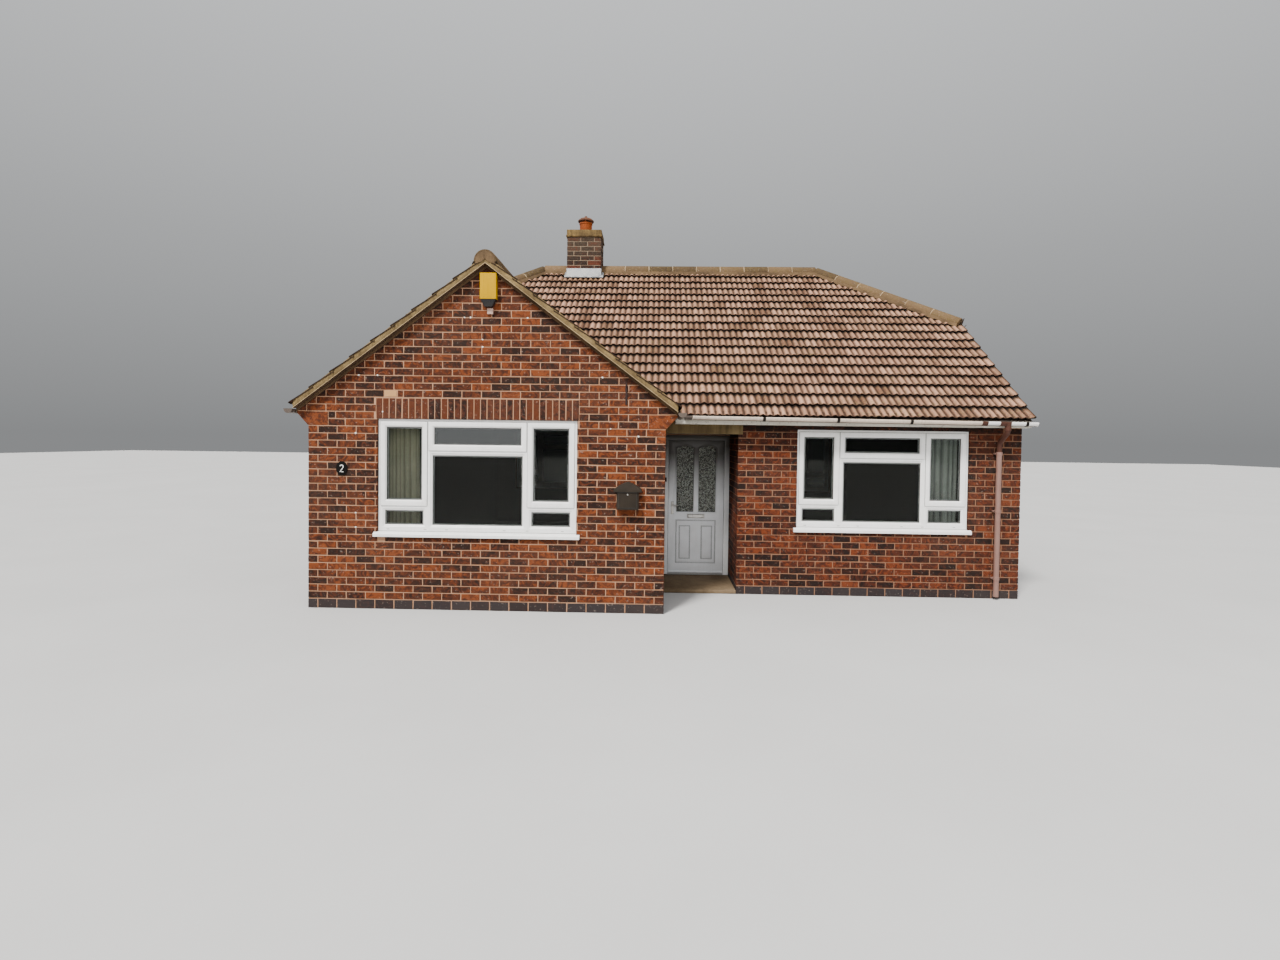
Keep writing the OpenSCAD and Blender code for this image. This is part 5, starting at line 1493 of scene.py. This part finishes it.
def buildWindowFrame(window):
    form, bag, place = windowForm, newBag(), placeIn(window)
    w, h = window["w"], window["h"]
    cells = cellsOf(window)
    outer = rectangle(0, w, form["sillH"], h)
    loopSweep(bag, outer, [(0.0015, 0.002), (0.0035, 0.0), (0.052, 0.0), (0.062, 0.007),
                           (0.062, form["depth"]), (0.0015, form["depth"])], place, closed=True)
    z0, z1 = cells[0][2], cells[1][3]
    for low in (cells[0][1], cells[4][0] - form["mullion"]):
        layBar(bag, place, True, z0 - 0.010, z1 + 0.010, low)
    for left, right, _, top, _ in (cells[0], cells[4], cells[2]):
        layBar(bag, place, False, left - 0.010, right + 0.010, top)
    for x0, x1, low, high, opens in cells:
        if opens:
            continue
        cell = rectangle(x0, x1, low, high)
        loopSweep(bag, cell, [(-0.0005, 0.009), (0.002, 0.0065), (0.005, 0.0065), (0.0155, 0.0135),
                              (0.0165, 0.0195)], place)
        loopSweep(bag, cell, [(0.0155, 0.0145), (0.0215, 0.0175), (0.0225, 0.0204)], place, mat=1)
        loopSweep(bag, cell, [(0.0175, 0.0446), (0.0165, 0.058), (0.003, 0.0645), (-0.0005, 0.0635)],
                  place)
    # drain slots with their caps along the foot of the frame
    slots = (0.118, 0.56, 0.815, w - 0.852, w - 0.58, w - 0.165)
    for x in slots:
        z = form["sillH"] + 0.021
        softBox(bag, (x - 0.017, -0.0012, z), (x + 0.017, 0.001, z + 0.006), 0.0008, 2, place)
    nodes = {"wing": "wing_window_frame", "main": "main_window_frame"}
    makePiece(window["name"] + "WindowFrame", bag, [upvcMat, sealAndShadeMat, drainMat],
              stands=(nodes.get(window["name"], "rear_window_frames"),), smooth=24)


def buildSashes():
    form, bag = windowForm, newBag()
    lap, total = form["lap"], form["lap"] + form["sash"]
    for window in windows:
        place = placeIn(window)
        for x0, x1, low, high, opens in cellsOf(window):
            if not opens:
                continue
            outer = rectangle(x0 - lap, x1 + lap, low - lap, high + lap)
            loopSweep(bag, outer, [
                (0.0, -0.0006), (0.0, -0.007), (0.0025, -0.0095), (0.006, -0.010), (0.029, -0.010),
                (0.0305, -0.0085), (0.032, -0.0085), (0.0335, -0.0095), (0.05, -0.0075),
                (0.063, 0.004), (total, 0.009), (total, 0.0195), (total, 0.0446), (total, 0.058),
                (total - 0.004, 0.0645), (lap + 0.002, 0.0645), (lap + 0.002, -0.0006)], place,
                      closed=True)
            glass = rectangle(x0 + form["sash"], x1 - form["sash"], low + form["sash"],
                              high - form["sash"])
            loopSweep(bag, glass, [(-0.0005, 0.0105), (0.006, 0.0155), (0.0075, 0.0204)], place, mat=1)
            # a drip rail along the foot of the sash
            left, right, foot = x0 - lap, x1 + lap, low - lap
            softBox(bag, (left + 0.001, -0.010, foot - 0.0045), (right - 0.001, -0.003, foot + 0.001),
                    0.001, move=place)
            # the seal in the gap behind the flange, wide enough to show as a dark line of painted shade
            loopSweep(bag, outer, [(-0.0035, 0.0004), (-0.0035, -0.003), (0.001, -0.0045)], place, mat=1)
            # a dark strip under the sash: painted shadow in the gap, with some dirt
            softBox(bag, (left + 0.002, -0.0035, foot - 0.0075), (right - 0.002, 0.0006, foot - 0.0035),
                    0.001, 1, place)
            if opens == "top":
                grip = ((x0 + x1) / 2 - 0.06, (x0 + x1) / 2 + 0.06, low + 0.008, low + 0.026)
            else:
                edge = x1 - 0.026 if opens == "left" else x0 + 0.008
                mid = (low + high) / 2
                grip = (edge, edge + 0.018, mid - 0.09, mid + 0.04)
            softBox(bag, (grip[0], 0.0645, grip[2]), (grip[1], 0.074, grip[3]), 0.003, move=place)
            softBox(bag, (grip[0] + 0.002, 0.082, grip[2]), (grip[1] - 0.002, 0.094, grip[3] - 0.03),
                    0.004, move=place)
            softBox(bag, (grip[0] + 0.003, 0.072, grip[3] - 0.05),
                    (grip[1] - 0.003, 0.084, grip[3] - 0.036), 0.003, move=place)
    makePiece("windowSashes", bag, [upvcMat, sealAndShadeMat], stands=("window_sashes",), smooth=24)


def buildPanes():
    form, bag = windowForm, newBag()
    for window in windows:
        place = placeIn(window)
        for x0, x1, low, high, opens in cellsOf(window):
            # the wing's vent stands at another angle and mirrors the sky
            skyPane = opens == "top" and window is windows[0]
            inset = form["sash"] + 0.0015 if opens else 0.0015
            pane = (x0 + inset, x1 - inset, low + inset, high - inset)
            for y in (form["unit"], form["unitBack"]):
                softBox(bag, (pane[0], y, pane[2]), (pane[1], y + form["pane"], pane[3]), 0.0005,
                        mat=3 if window["turn"] < 0 else 2 if skyPane else 0, move=place)
            inner = 0.008 if opens else 0.022
            near, far = form["unit"] + form["pane"] + 0.0002, form["unitBack"] - 0.0002
            loopSweep(bag, rectangle(*pane), rectangle(inner, inner + 0.007, near, far), place, 1, True)
    makePiece("windowPanes", bag, [glassMat, spacerMat, ventGlassMat, rearGlassMat],
              stands=("window_glass",))


def buildSills():
    form, bag = windowForm, newBag()
    front = -form["reveal"] - form["sillOut"]
    nose = [(-0.0285, 0.0), (front + 0.002, 0.0), (front, 0.002), (front, 0.034),
            (front + 0.003, 0.0385), (front + 0.014, 0.048), (-0.0285, 0.0548)]
    cap = [(y - 0.0006 * (y < -0.03), z + 0.0008 * (z > 0.03)) for y, z in nose]
    inner = [(-0.0285, 0.0), (-0.0285, 0.0548), (0.0, 0.0615), (form["depth"], 0.0615),
             (form["depth"], 0.0)]
    for window in windows:
        place = placeIn(window)
        w, horn = window["w"], form["horn"]
        for shape, x0, x1 in ((nose, -horn + 0.003, w + horn - 0.003), (inner, 0.0015, w - 0.0015),
                              (cap, -horn, -horn + 0.0028), (cap, w + horn - 0.0028, w + horn)):
            n = len(shape)
            verts = [place(x, max(y, front), z) for x in (x0, x1) for y, z in shape]
            ends = [tuple(range(n))[::-1], tuple(range(n, 2 * n))]
            addPart(bag, verts, [f[::-1] for f in gridFaces(2, n, True) + ends])
        # sealant between the sill and the frame
        softBox(bag, (0.002, -0.0015, form["sillH"] - 0.002),
                (w - 0.002, 0.0015, form["sillH"] + 0.0025), 0.001, 1, place)
    makePiece("windowSills", bag, [upvcMat, sealAndShadeMat], stands=("window_sills",), smooth=28)


for oneWindow in windows:
    buildWindowFrame(oneWindow)
buildSashes()
buildPanes()
buildSills()


# Curtains, pleated and hung from their tracks
curtainForm = {"mid": 0.122, "depth": 0.03, "lift": 0.012, "track": 0.02, "width": 0.43, "rows": 26}


def hangCurtain(name, window, x0, material, folds, seed, lean):
    rng = np.random.default_rng(seed)
    place = placeIn(window)
    wide, top, foot = curtainForm["width"], window["h"] - curtainForm["track"], curtainForm["lift"]
    spans = np.array(folds, float)
    edges = np.concatenate([[0], np.cumsum(spans / spans.sum())])
    deeps = rng.uniform(0.65, 1.0, len(spans))
    columns = np.linspace(0, 1, 24 * len(spans) + 1)
    verts, tones, lengths = [], [], []
    for row in range(curtainForm["rows"] + 1):
        v = row / curtainForm["rows"]
        previous, total = None, 0.0
        for u in columns:
            k = min(int(np.searchsorted(edges, u, side="right")) - 1, len(spans) - 1)
            phase = (u - edges[k]) / (edges[k + 1] - edges[k])
            fold = math.sin(2 * math.pi * phase)
            sharp = math.copysign(abs(fold) ** 0.8, fold)
            swing = 0.010 * math.sin(2.3 * v + k * 1.7) * (v ** 1.2)
            x = x0 + 0.004 + (wide - 0.03) * (u * (1 - 0.045 * (1 - v) * lean)) + swing * 0.5 * u + (
                0.006 * math.sin(2 * math.pi * phase * 2))
            y = curtainForm["mid"] + curtainForm["depth"] * deeps[k] * sharp
            point = (min(x, x0 + wide), y, top + (foot - top) * v)
            verts.append(place(*point))
            # painted shade in the fold valleys, weaker towards one side of a leaning curtain
            tones.append((max(0.0, sharp) ** 0.7 * (1 - 0.6 * lean * u), 0.0, 0.0))
            if previous is not None:
                total += math.dist(previous, point)
            previous = point
        lengths.append(total)
    bag = newBag()
    addPart(bag, verts, gridFaces(curtainForm["rows"] + 1, len(columns)), tones)
    piece = makePiece(name, bag, [material], stands=("curtains",), smooth=180)
    float(np.mean(lengths))


hangCurtain("leftCurtain", windows[0], windowForm["frame"], leftCurtainMat,
            (1.0, 0.8, 1.1, 0.9, 1.4, 1.9, 1.3), 401, 1.0)
hangCurtain("rightCurtain", windows[1], windows[1]["w"] - windowForm["frame"] - curtainForm["width"],
            rightCurtainMat, (0.6, 1.1, 1.5, 2.1, 1.0, 1.3), 402, 0.0)
softenSolid("curtain_tracks", "curtainTracks", upvcMat, 0.003)
print("windows glazed")


# Front door and porch
doorForm = {"left": -0.202, "right": 0.61, "face": -2.525, "back": -2.465, "foot": 0.067, "top": 2.03,
            "glassLeft": -0.084, "glassRight": 0.492, "bar": 0.072, "glassFoot": 0.976,
            "glassTop": 1.952, "rise": 0.038, "handleX": -0.142, "handleZ": 1.07,
            "jambLeft": -0.207, "jambRight": 0.615, "head": 2.035}


def archOutline(x0, wide, z0, z1, rise):
    radius = ((wide / 2) ** 2 + rise ** 2) / (2 * rise)
    half, steps = math.asin(wide / 2 / radius), 14
    points = [(x0, z0), (x0 + wide, z0)]
    for k in range(steps + 1):
        a = half - 2 * half * k / steps
        points.append((x0 + wide / 2 + radius * math.sin(a), z1 - radius + radius * math.cos(a)))
    return points


def onFace(face, turn=1):
    return lambda x, y, z: (x, face + turn * y, z)


def doorFaces(proud=0.0):
    # the two faces of the leaf, or of what stands proud of them, and which way each looks
    return (doorForm["face"] - proud, 1), (doorForm["back"] + proud, -1)


def paneSides():
    # the left sides of the two panes, and how wide each is
    left, right = doorForm["glassLeft"], doorForm["glassRight"]
    wide = (right - left - doorForm["bar"]) / 2
    return (left, right - wide), wide


def buildDoorLeaf():
    form, trim, panes = doorForm, newBag(), newBag()
    low, high, rise, face = form["glassFoot"], form["glassTop"], form["rise"], form["face"]
    softenSolid("front_door", "frontDoor", doorMat, 0.0022, body="door")
    sides, wide = paneSides()
    for x0 in sides:
        outline = archOutline(x0, wide, low, high, rise)
        for at, turn in doorFaces():
            loopSweep(trim, outline, [
                (-0.021, 0.001), (-0.021, -0.003), (-0.016, -0.0055), (-0.008, -0.0065),
                (-0.002, -0.003), (0.0005, 0.004), (0.001, 0.0155)], onFace(at, turn))
            loopSweep(trim, outline, [(0.0005, 0.0115), (0.004, 0.0135), (0.005, 0.0158)],
                      onFace(at, turn), mat=1)
        pane = archOutline(x0 + 0.001, wide - 0.002, low + 0.001, high - 0.001, rise)
        for mat, near in enumerate((face + 0.016, form["back"] - 0.020)):
            addPrism(panes, [(x, y, z) for y in (near, near + 0.004) for x, z in pane], mat)
    # beads in the grooves of the lower panel: one frame, and a field under each pane
    grooves = [(form["glassLeft"] - 0.006, form["glassRight"] + 0.006, 0.219, 0.859)]
    grooves += [(x0 + 0.043, x0 + wide - 0.043, 0.28, 0.775) for x0 in sides]
    bead = [(0.004, 0.0072), (0.0045, 0.003), (0.006, 0.0005), (0.008, 0.0005), (0.0095, 0.003),
            (0.01, 0.0072)]
    for groove in grooves:
        loopSweep(trim, rectangle(*groove), bead, onFace(face))
        for inset in (0.0004, 0.0096):  # the shaded quirks beside the bead
            loopSweep(trim, rectangle(*groove), [(inset, 0.0066), (inset + 0.004, 0.0066)],
                      onFace(face), mat=1)
    # weather bar across the foot
    softBox(trim, (form["left"] + 0.012, face - 0.016, form["foot"] + 0.012),
            (form["right"] - 0.012, face + 0.001, form["foot"] + 0.034), 0.005)
    makePiece("doorMouldings", trim, [doorMat, sealAndShadeMat], "door", smooth=30)
    makePiece("doorPanes", panes, [obscureMat, glassMat], "door", ("door_glass",))


def buildDoorFittings():
    form, metal = doorForm, newBag()
    for node, label in (("handle_plates", "handlePlates"), ("letter_plate", "letterPlate")):
        softenSolid(node, label, doorMetalMat, 0.003, 3, "door")
    mid, z = (form["left"] + form["right"]) / 2, 0.9175
    x, grip = form["handleX"], form["handleZ"]
    for face, turn in doorFaces(0.008):
        low = (mid - 0.106, face - 0.0025 if turn > 0 else face, z - 0.02)
        high = (mid + 0.106, face if turn > 0 else face + 0.0025, z + 0.02)
        softBox(metal, low, high, 0.0015)
        # dark lines round the flap and the plates: painted shadow at their edges
        flap = rectangle(low[0] - 0.001, high[0] + 0.001, low[2] - 0.001, high[2] + 0.001)
        loopSweep(metal, flap, [(-0.0022, -0.0004), (0.0008, -0.0004)], onFace(face, turn), mat=1)
        loopSweep(metal, rectangle(x - 0.018, x + 0.018, grip - 0.13, grip + 0.055),
                  [(-0.0025, 0.0074), (-0.001, 0.0066), (0.001, 0.0066)], onFace(face, turn), mat=1)
        # cylinder lock below the lever
        lock = grip - 0.072
        tubeAlong(metal, [(x, face + turn * 0.001, lock), (x, face - turn * 0.004, lock)], 0.0085, 20)
        softBox(metal, (x - 0.001, face - 0.0047, lock - 0.005), (x + 0.001, face + 0.0047, lock + 0.005),
                0.0004, mat=1)
    makePiece("doorFittings", metal, [doorMetalMat, sealAndShadeMat], "door", smooth=30)


def buildDoorLevers():
    lever, x, z = newBag(), doorForm["handleX"], doorForm["handleZ"]
    spindle = [(x, face - turn * 0.044, z) for face, turn in doorFaces()]
    tubeAlong(lever, spindle, 0.0075, 20)
    for y, turn in doorFaces(0.037):
        points, radii = [], []
        for t in (k / 14 for k in range(15)):
            points.append((x - 0.006 + 0.1 * t, y + turn * 0.007 * max(0, t - 0.6) / 0.4 * t, z))
            radii.append(0.0025 + 0.0055 * math.sqrt(max(0.0, 1 - ((t - 0.5) / 0.5) ** 8)))
        tubeAlong(lever, points, radii, 16, flat=0.9)
        tubeAlong(lever, [(x, y + turn * 0.003, z), (x, y + turn * 0.028, z)], [0.0105, 0.0125], 24)
    makePiece("doorLevers", lever, [doorMetalMat], "lever", ("door_handle",), smooth=40)
    softenSolid("hinge_knuckles", "hingeKnuckles", doorMetalMat, 0.0006, 1, "door")
    softenSolid("hinge_posts", "hingePosts", doorMetalMat, 0.0006, 1)


def buildPorch():
    form = doorForm
    softenSolid("door_frame", "doorFrame", doorFrameMat, 0.004)
    trim = newBag()
    opening = rectangle(form["jambLeft"], form["jambRight"], 0.062, form["head"])
    loopSweep(trim, opening, [(0.0, 0.004), (0.0035, 0.007), (0.0035, 0.0095), (0.0, 0.0095)],
              onFace(house["doorFace"]), 1, True)
    softBox(trim, (form["jambLeft"] + 0.001, house["doorFace"] - 0.006, 0.0605),
            (form["jambRight"] - 0.001, house["doorFace"] + 0.009, 0.0665), 0.002, mat=2)
    makePiece("doorFrameSeals", trim, [upvcMat, sealAndShadeMat, doorMetalMat], smooth=30)
    softenSolid("porch_step", "porchStep", concreteMat, 0.006, 3)
    softenSolid("porch_lintel", "porchLintel", castMat, 0.005, 3)
    softenSolid("porch_ceiling", "porchCeiling", ceilingMat, 0.002)
    softenSolid("floor_slab", "floorSlab", screedMat, 0.003)


buildDoorLeaf()
buildDoorFittings()
buildDoorLevers()
buildPorch()
print("door and porch built")


# Eaves boards, gutters and downpipes
eaves = {"radius": 0.0498, "thick": 0.003, "front": 3.732, "z": 2.345, "fall": 0.036,
         "left": -0.033, "right": 4.43, "wingX": 2.292, "wingBack": -3.784}


def halfRing(radius):
    return [(math.cos(math.pi * k / 20) * radius, -math.sin(math.pi * k / 20) * radius)
            for k in range(21)]


def gutterRun(bag, start, end, side, mats, unions=(), brackets=0, lengths=None):
    # side points level from the wall outwards; lengths are (from, to, finish)
    start, end, side, up = vectors(start, end, side, (0, 0, 1))
    length = np.linalg.norm(end - start)
    run = (end - start) / length
    r, t = eaves["radius"], eaves["thick"]

    def section(outer, inner, bead=True):
        points = halfRing(outer) + halfRing(inner)[::-1]
        for k in range(5 if bead else 0):
            a = math.pi * (1 - 0.25 * k)
            points.append((outer - t * 0.5 - 0.003 + math.cos(a) * 0.0045,
                           0.0005 + math.sin(a) * 0.0045))
        return points

    def sweep(points, a, b, mat):
        verts, tones = [], []
        for s in (a, b):
            for across, high in points:
                verts.append(start + run * s + side * across + up * high)
                # painted shade on the lower part of the gutter
                tones.append((0.5, min(1.0, max(0.0, (-high / r - 0.7) / 0.2)), 0.0))
        addPart(bag, verts, gridFaces(2, len(points), True), tones, mat)

    for a, b, mat in lengths or ((0.0, length, mats[0]),):
        sweep(section(r - 0.0008, r - t), a + 0.003, b - 0.003, mat)
    for at, wide, mat in unions:
        sweep(section(r, r - 0.0012), at - wide / 2, at + wide / 2, mat)
        for edge in (-1, 1):
            middle = at + edge * (wide / 2 - 0.008)
            sweep(section(r + 0.0018, r - 0.001, False), middle - 0.005, middle + 0.005, mat)
    for a, b, mat in ((0.0, 0.0045, mats[0]), (length - 0.0045, length, mats[1])):
        rim = [(r, 0.004), *halfRing(r)[1:-1], (-r, 0.004)]
        addPrism(bag, [start + run * s + side * u + up * v for s in (a, b) for u, v in rim], mat)
    if brackets:
        count = int(length / brackets) + 1
        for i in range(count):
            s = 0.25 + (length - 0.5) * i / max(1, count - 1)
            sweep(section(r + 0.0018, r - 0.0006, False), s - 0.013, s + 0.013, mats[1])
            lows = start + run * (s - 0.013) - side * (r + 0.0005) - up * 0.03
            verts = []
            for du, dv in ((0, 0), (0, 0.05), (0.004, 0.05), (0.004, 0)):
                for ds in (0, 0.026):
                    verts.append(lows + run * ds + side * du + up * dv)
            addPart(bag, verts, [(0, 2, 3, 1), (2, 4, 5, 3), (4, 6, 7, 5), (6, 0, 1, 7), (0, 6, 4, 2),
                                 (1, 3, 5, 7)], mat=mats[1])


def buildGutters():
    e, bag = eaves, newBag()
    left, right = e["left"], e["right"]
    drop = e["fall"]
    # along x: black clips, the brown union and outlet, and a whiter last length
    clips, brown = (0.983, 1.924, 2.848, 4.293), (3.767, 4.024)
    unions = [(x - left, 0.038, 3) for x in clips]
    unions += [(x - left, wide, 1) for x, wide in zip(brown, (0.075, 0.138))]
    gutterRun(bag, (left, -e["front"], e["z"]), (right, -e["front"], e["z"] - drop), (0, -1, 0), (2, 4),
              unions, lengths=((0.0, 0.1, 2), (0.1, brown[0] - left, 0),
                               (brown[0] - left, right - left, 4)))
    unions = [(x + right, 0.03, 3) for x in (-3.3, -2.2, -1.1, 0.0) + clips]
    unions += [(x + right, wide, 1) for x, wide in zip(brown, (0.075, 0.138))]
    gutterRun(bag, (-right, e["front"], e["z"]), (right, e["front"], e["z"] - drop), (0, 1, 0), (0, 0),
              unions)
    mid = house["wingMid"]
    for side, back in ((1, e["wingBack"]), (-1, -house["halfDepth"])):
        x = mid + side * e["wingX"]
        gutterRun(bag, (x, house["wingVerge"], e["z"]), (x, back, e["z"]), (side, 0, 0), (2, 2),
                  brackets=0.6)
    makePiece("gutterRuns", bag, [gutterMat, outletMat, darkGutterMat, unionMat, whiteGutterMat],
              stands=("gutters",), smooth=40)


def roundedPath(points, radius):
    # a path whose corners are rounded in six steps
    pts, steps = [Vector(p) for p in points], 6
    path = [pts[0]]
    for i in range(1, len(pts) - 1):
        before, after = (pts[i - 1] - pts[i]), (pts[i + 1] - pts[i])
        cut = min(radius, before.length * 0.45, after.length * 0.45)
        a, b = pts[i] + before.normalized() * cut, pts[i] + after.normalized() * cut
        for k in range(steps + 1):
            t = k / steps
            path.append(a.lerp(pts[i], t).lerp(pts[i].lerp(b, t), t))
    path.append(pts[-1])
    return path


def collar(bag, x, y, z0, z1, radius, mat=0):
    lip = 0.002
    tubeAlong(bag, [(x, y, z) for z in (z0, z0 + lip, z1 - lip, z1)],
              [radius - lip, radius, radius, radius - lip], 28, mat=mat)


def buildDownpipes():
    bag = newBag()
    r, x = 0.034, 4.07
    outY, inY, outletZ, neckZ, lowZ, foot = 3.732, 3.539, 2.257, 2.197, 2.0426, 0.04
    for turn in (-1, 1):
        bend = [(x, turn * outY, outletZ + 0.02), (x, turn * outY, neckZ - 0.015),
                (x, turn * inY, lowZ + 0.01), (x, turn * inY, 1.86)]
        tubeAlong(bag, roundedPath(bend, 0.05), r - 0.001, 28, mat=2)
        tubeAlong(bag, [(x, turn * inY, z) for z in (1.93, foot)], r, 28)
        collar(bag, x, turn * outY, outletZ - 0.052, outletZ + 0.012, r + 0.005, 2)
        tubeAlong(bag, [(x, turn * outY, z) for z in (outletZ + 0.004, outletZ + 0.03, outletZ + 0.05)],
                  [0.04, 0.049, 0.052], 28, mat=2, flat=0.92, caps=False)
        for z in (lowZ / 8, lowZ / 1.8, lowZ - 0.1575):
            collar(bag, x, turn * inY, z, z + 0.045, r + 0.005)
            softBox(bag, (x - 0.05, min(turn * inY, turn * 3.481), z + 0.012),
                    (x + 0.05, max(turn * inY, turn * 3.481), z + 0.033), 0.003)
            for side in (-1, 1):
                tubeAlong(bag, [(x + side * 0.043, turn * (inY + 0.001), z + 0.0225),
                                (x + side * 0.043, turn * (inY + 0.006), z + 0.0225)], 0.005, 10, mat=1)
    makePiece("downpipeRuns", bag, [brownPlasticMat, ironMat, outletMat],
              stands=("downpipes",), smooth=40)


buildGutters()
buildDownpipes()
softenSolid("main_eaves_boards", "mainEavesBoards", boardMat, 0.002)
softenSolid("wing_eaves_boards", "wingEavesBoards", brownBoardMat, 0.002)
print("eaves built")


# Chimney top and lead
softenSolid("chimney_crown", "chimneyCrown", crownMat, 0.006, 3)
softenSolid("chimney_flashing", "chimneyLead", leadMat, 0.001, 1)
pot = softenSolid("chimney_pot", "chimneyPot", potMat)
paintWhere(pot, potHoodMat, lambda face: face.center.z > 6.045)


# Fixtures on the walls
postBox = softenSolid("post_box", "postBox", darkMetalMat, 0.003, 3)
boxLow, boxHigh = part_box("post_box")
boxMid, boxFront, lidFoot = (boxLow[0] + boxHigh[0]) / 2, boxLow[1] + 0.014, boxLow[2] + 0.204


def onLock(face):
    spots = (postBox.data.vertices[i].co for i in face.vertices)
    return all(p.y < boxFront - 0.0004 and math.hypot(p.x - boxMid, p.z - lidFoot + 0.027) < 0.0105
               for p in spots)


paintWhere(postBox, doorMetalMat, onLock)
# dark strips: painted shadow under the lid and in the seams round the door
seamShade = newBag()
for low, high in (((-0.104, -0.008), (0.104, -0.0005)), ((-0.107, -0.184), (0.107, -0.18)),
                  ((-0.107, -0.184), (-0.1035, -0.002)), ((0.1035, -0.184), (0.107, -0.002))):
    softBox(seamShade, (boxMid + low[0], boxFront - 0.0007, lidFoot + low[1]),
            (boxMid + high[0], boxFront + 0.0035, lidFoot + high[1]), 0.0003)
makePiece("postBoxSeamShade", seamShade, [sealAndShadeMat])
alarm = softenSolid("alarm_box", "alarmCover", yellowMat, 0.006, 3)
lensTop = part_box("alarm_box")[0][2] + 0.0862
paintWhere(alarm, lensMat, lambda face: face.center.z < lensTop)
softenSolid("cable_box", "cableBox", beigeMat, 0.004, 3)
for node, label in (("number_plaque", "numberPlaque"), ("bell_push", "bellPush")):
    softenSolid(node, label, plaqueMat)
for node, label in (("wall_hook", "wallHook"), ("hip_irons", "hipIrons")):
    softenSolid(node, label, ironMat, 0.0015)


def buildDigit():
    # a plain figure two on the plaque
    cx, cz, y = -4.088, 1.655, house["wingFront"] - 0.0095
    high, wide, stroke = 0.088, 0.046, 0.0085
    path = []
    r = wide / 2 - stroke / 2
    for k in range(15):
        a = math.radians(165 - 205 * k / 14)
        path.append((cx + math.cos(a) * r, cz + high / 2 - stroke / 2 - r + math.sin(a) * r))
    path.append((cx - wide / 2 + stroke / 2, cz - high / 2 + stroke / 2))
    path.append((cx + wide / 2 - stroke * 0.2, cz - high / 2 + stroke / 2))
    bag = newBag()
    n = len(path)
    verts = []
    for i, (x, z) in enumerate(path):
        ax, az = path[max(i - 1, 0)]
        bx, bz = path[min(i + 1, n - 1)]
        length = math.hypot(bx - ax, bz - az)
        nx, nz = -(bz - az) / length, (bx - ax) / length
        for side in (-1, 1):
            for deep in (0.0, -0.0012):
                verts.append((x + side * nx * stroke / 2, y + deep, z + side * nz * stroke / 2))
    faces = []
    for i in range(n - 1):
        a, b = 4 * i, 4 * (i + 1)
        faces += [(a + 1, b + 1, b + 3, a + 3), (b, b + 1, a + 1, a), (a + 3, b + 3, b + 2, a + 2)]
    addPart(bag, verts, faces)
    makePiece("houseNumber", bag, [whitePaintMat], smooth=30)


buildDigit()
print("fixtures built")

# Stage, light and camera
view = {"place": (-0.40436, -12.02514, 2.04806), "lens": 18.112, "shiftY": -0.02074,
        "yaw": 0.0236, "pitch": 0.0230, "roll": 0.0125}


def buildStage():
    mesh = bpy.data.meshes.new("studioFloor")
    size = 60.0
    mesh.from_pydata([(x, y, -0.002) for x, y in rectangle(-size, size, -size, size)], [],
                     [(0, 1, 2, 3)])
    floorMat, tree, shader, where = newMaterial("studioFloor")
    soft = patchOf(tree, where, 0.4, 0.5, 0.3)
    feed(tree, shader.inputs["Base Color"], layOver(tree, (0.46, 0.46, 0.455), (0.5, 0.5, 0.495), soft))
    feed(tree, shader.inputs["Roughness"], 0.9)
    mesh.materials.append(floorMat)
    floor = putInScene("studioFloor", mesh)


def buildLight():
    world = bpy.context.scene.world or bpy.data.worlds.new("studio")
    bpy.context.scene.world = world
    world.use_nodes = True
    tree = world.node_tree
    tree.nodes.clear()
    where = tree.nodes.new("ShaderNodeTexCoord").outputs["Generated"]
    up = heightOf(tree, where)
    colour = mixColours(tree, remap(tree, up, -0.05, 0.7), (0.86, 0.88, 0.9), (0.97, 0.985, 1.0))
    bright = calc(tree, "ADD", remap(tree, up, 0.0, 0.25, 0.3, 0.5),
                  remap(tree, up, 0.25, 0.7, 0.0, 0.45))
    shade = addNode(tree, "Background", {"Color": colour, "Strength": bright})
    out = tree.nodes.new("ShaderNodeOutputWorld")
    tree.links.new(shade.outputs[0], out.inputs["Surface"])
    sun = bpy.data.lights.new("softKey", "SUN")
    sun.energy, sun.angle, sun.color = 6.6, math.radians(12), (1.0, 0.97, 0.93)
    key = putInScene("softKey", sun)
    key.rotation_euler = (math.radians(38), 0.0, math.radians(-30))
    panel = bpy.data.lights.new("frontFill", "AREA")
    panel.shape, panel.size, panel.size_y = "RECTANGLE", 9.0, 4.0
    panel.energy = 620.0
    fill = putInScene("frontFill", panel)
    fill.visible_glossy = False
    fill.location = (1.0, -14.0, 8.5)
    fill.rotation_euler = (math.radians(59), 0.0, math.radians(3))


def buildCamera():
    cosYaw, sinYaw = math.cos(view["yaw"]), math.sin(view["yaw"])
    cosPitch, sinPitch = math.cos(view["pitch"]), math.sin(view["pitch"])
    ahead = Vector((-sinYaw * cosPitch, cosYaw * cosPitch, -sinPitch))
    level = Vector((cosYaw, sinYaw, 0.0))
    above = level.cross(ahead)
    right = math.cos(view["roll"]) * level + math.sin(view["roll"]) * above
    up = -math.sin(view["roll"]) * level + math.cos(view["roll"]) * above
    data = bpy.data.cameras.new("photoCamera")
    data.lens, data.sensor_width, data.shift_y = view["lens"], 36.0, view["shiftY"]
    camera = putInScene("photoCamera", data)
    turn = Matrix((right, up, -ahead)).transposed()
    camera.matrix_world = Matrix.Translation(view["place"]) @ turn.to_4x4()
    bpy.context.scene.camera = camera


buildStage()
buildLight()
buildCamera()
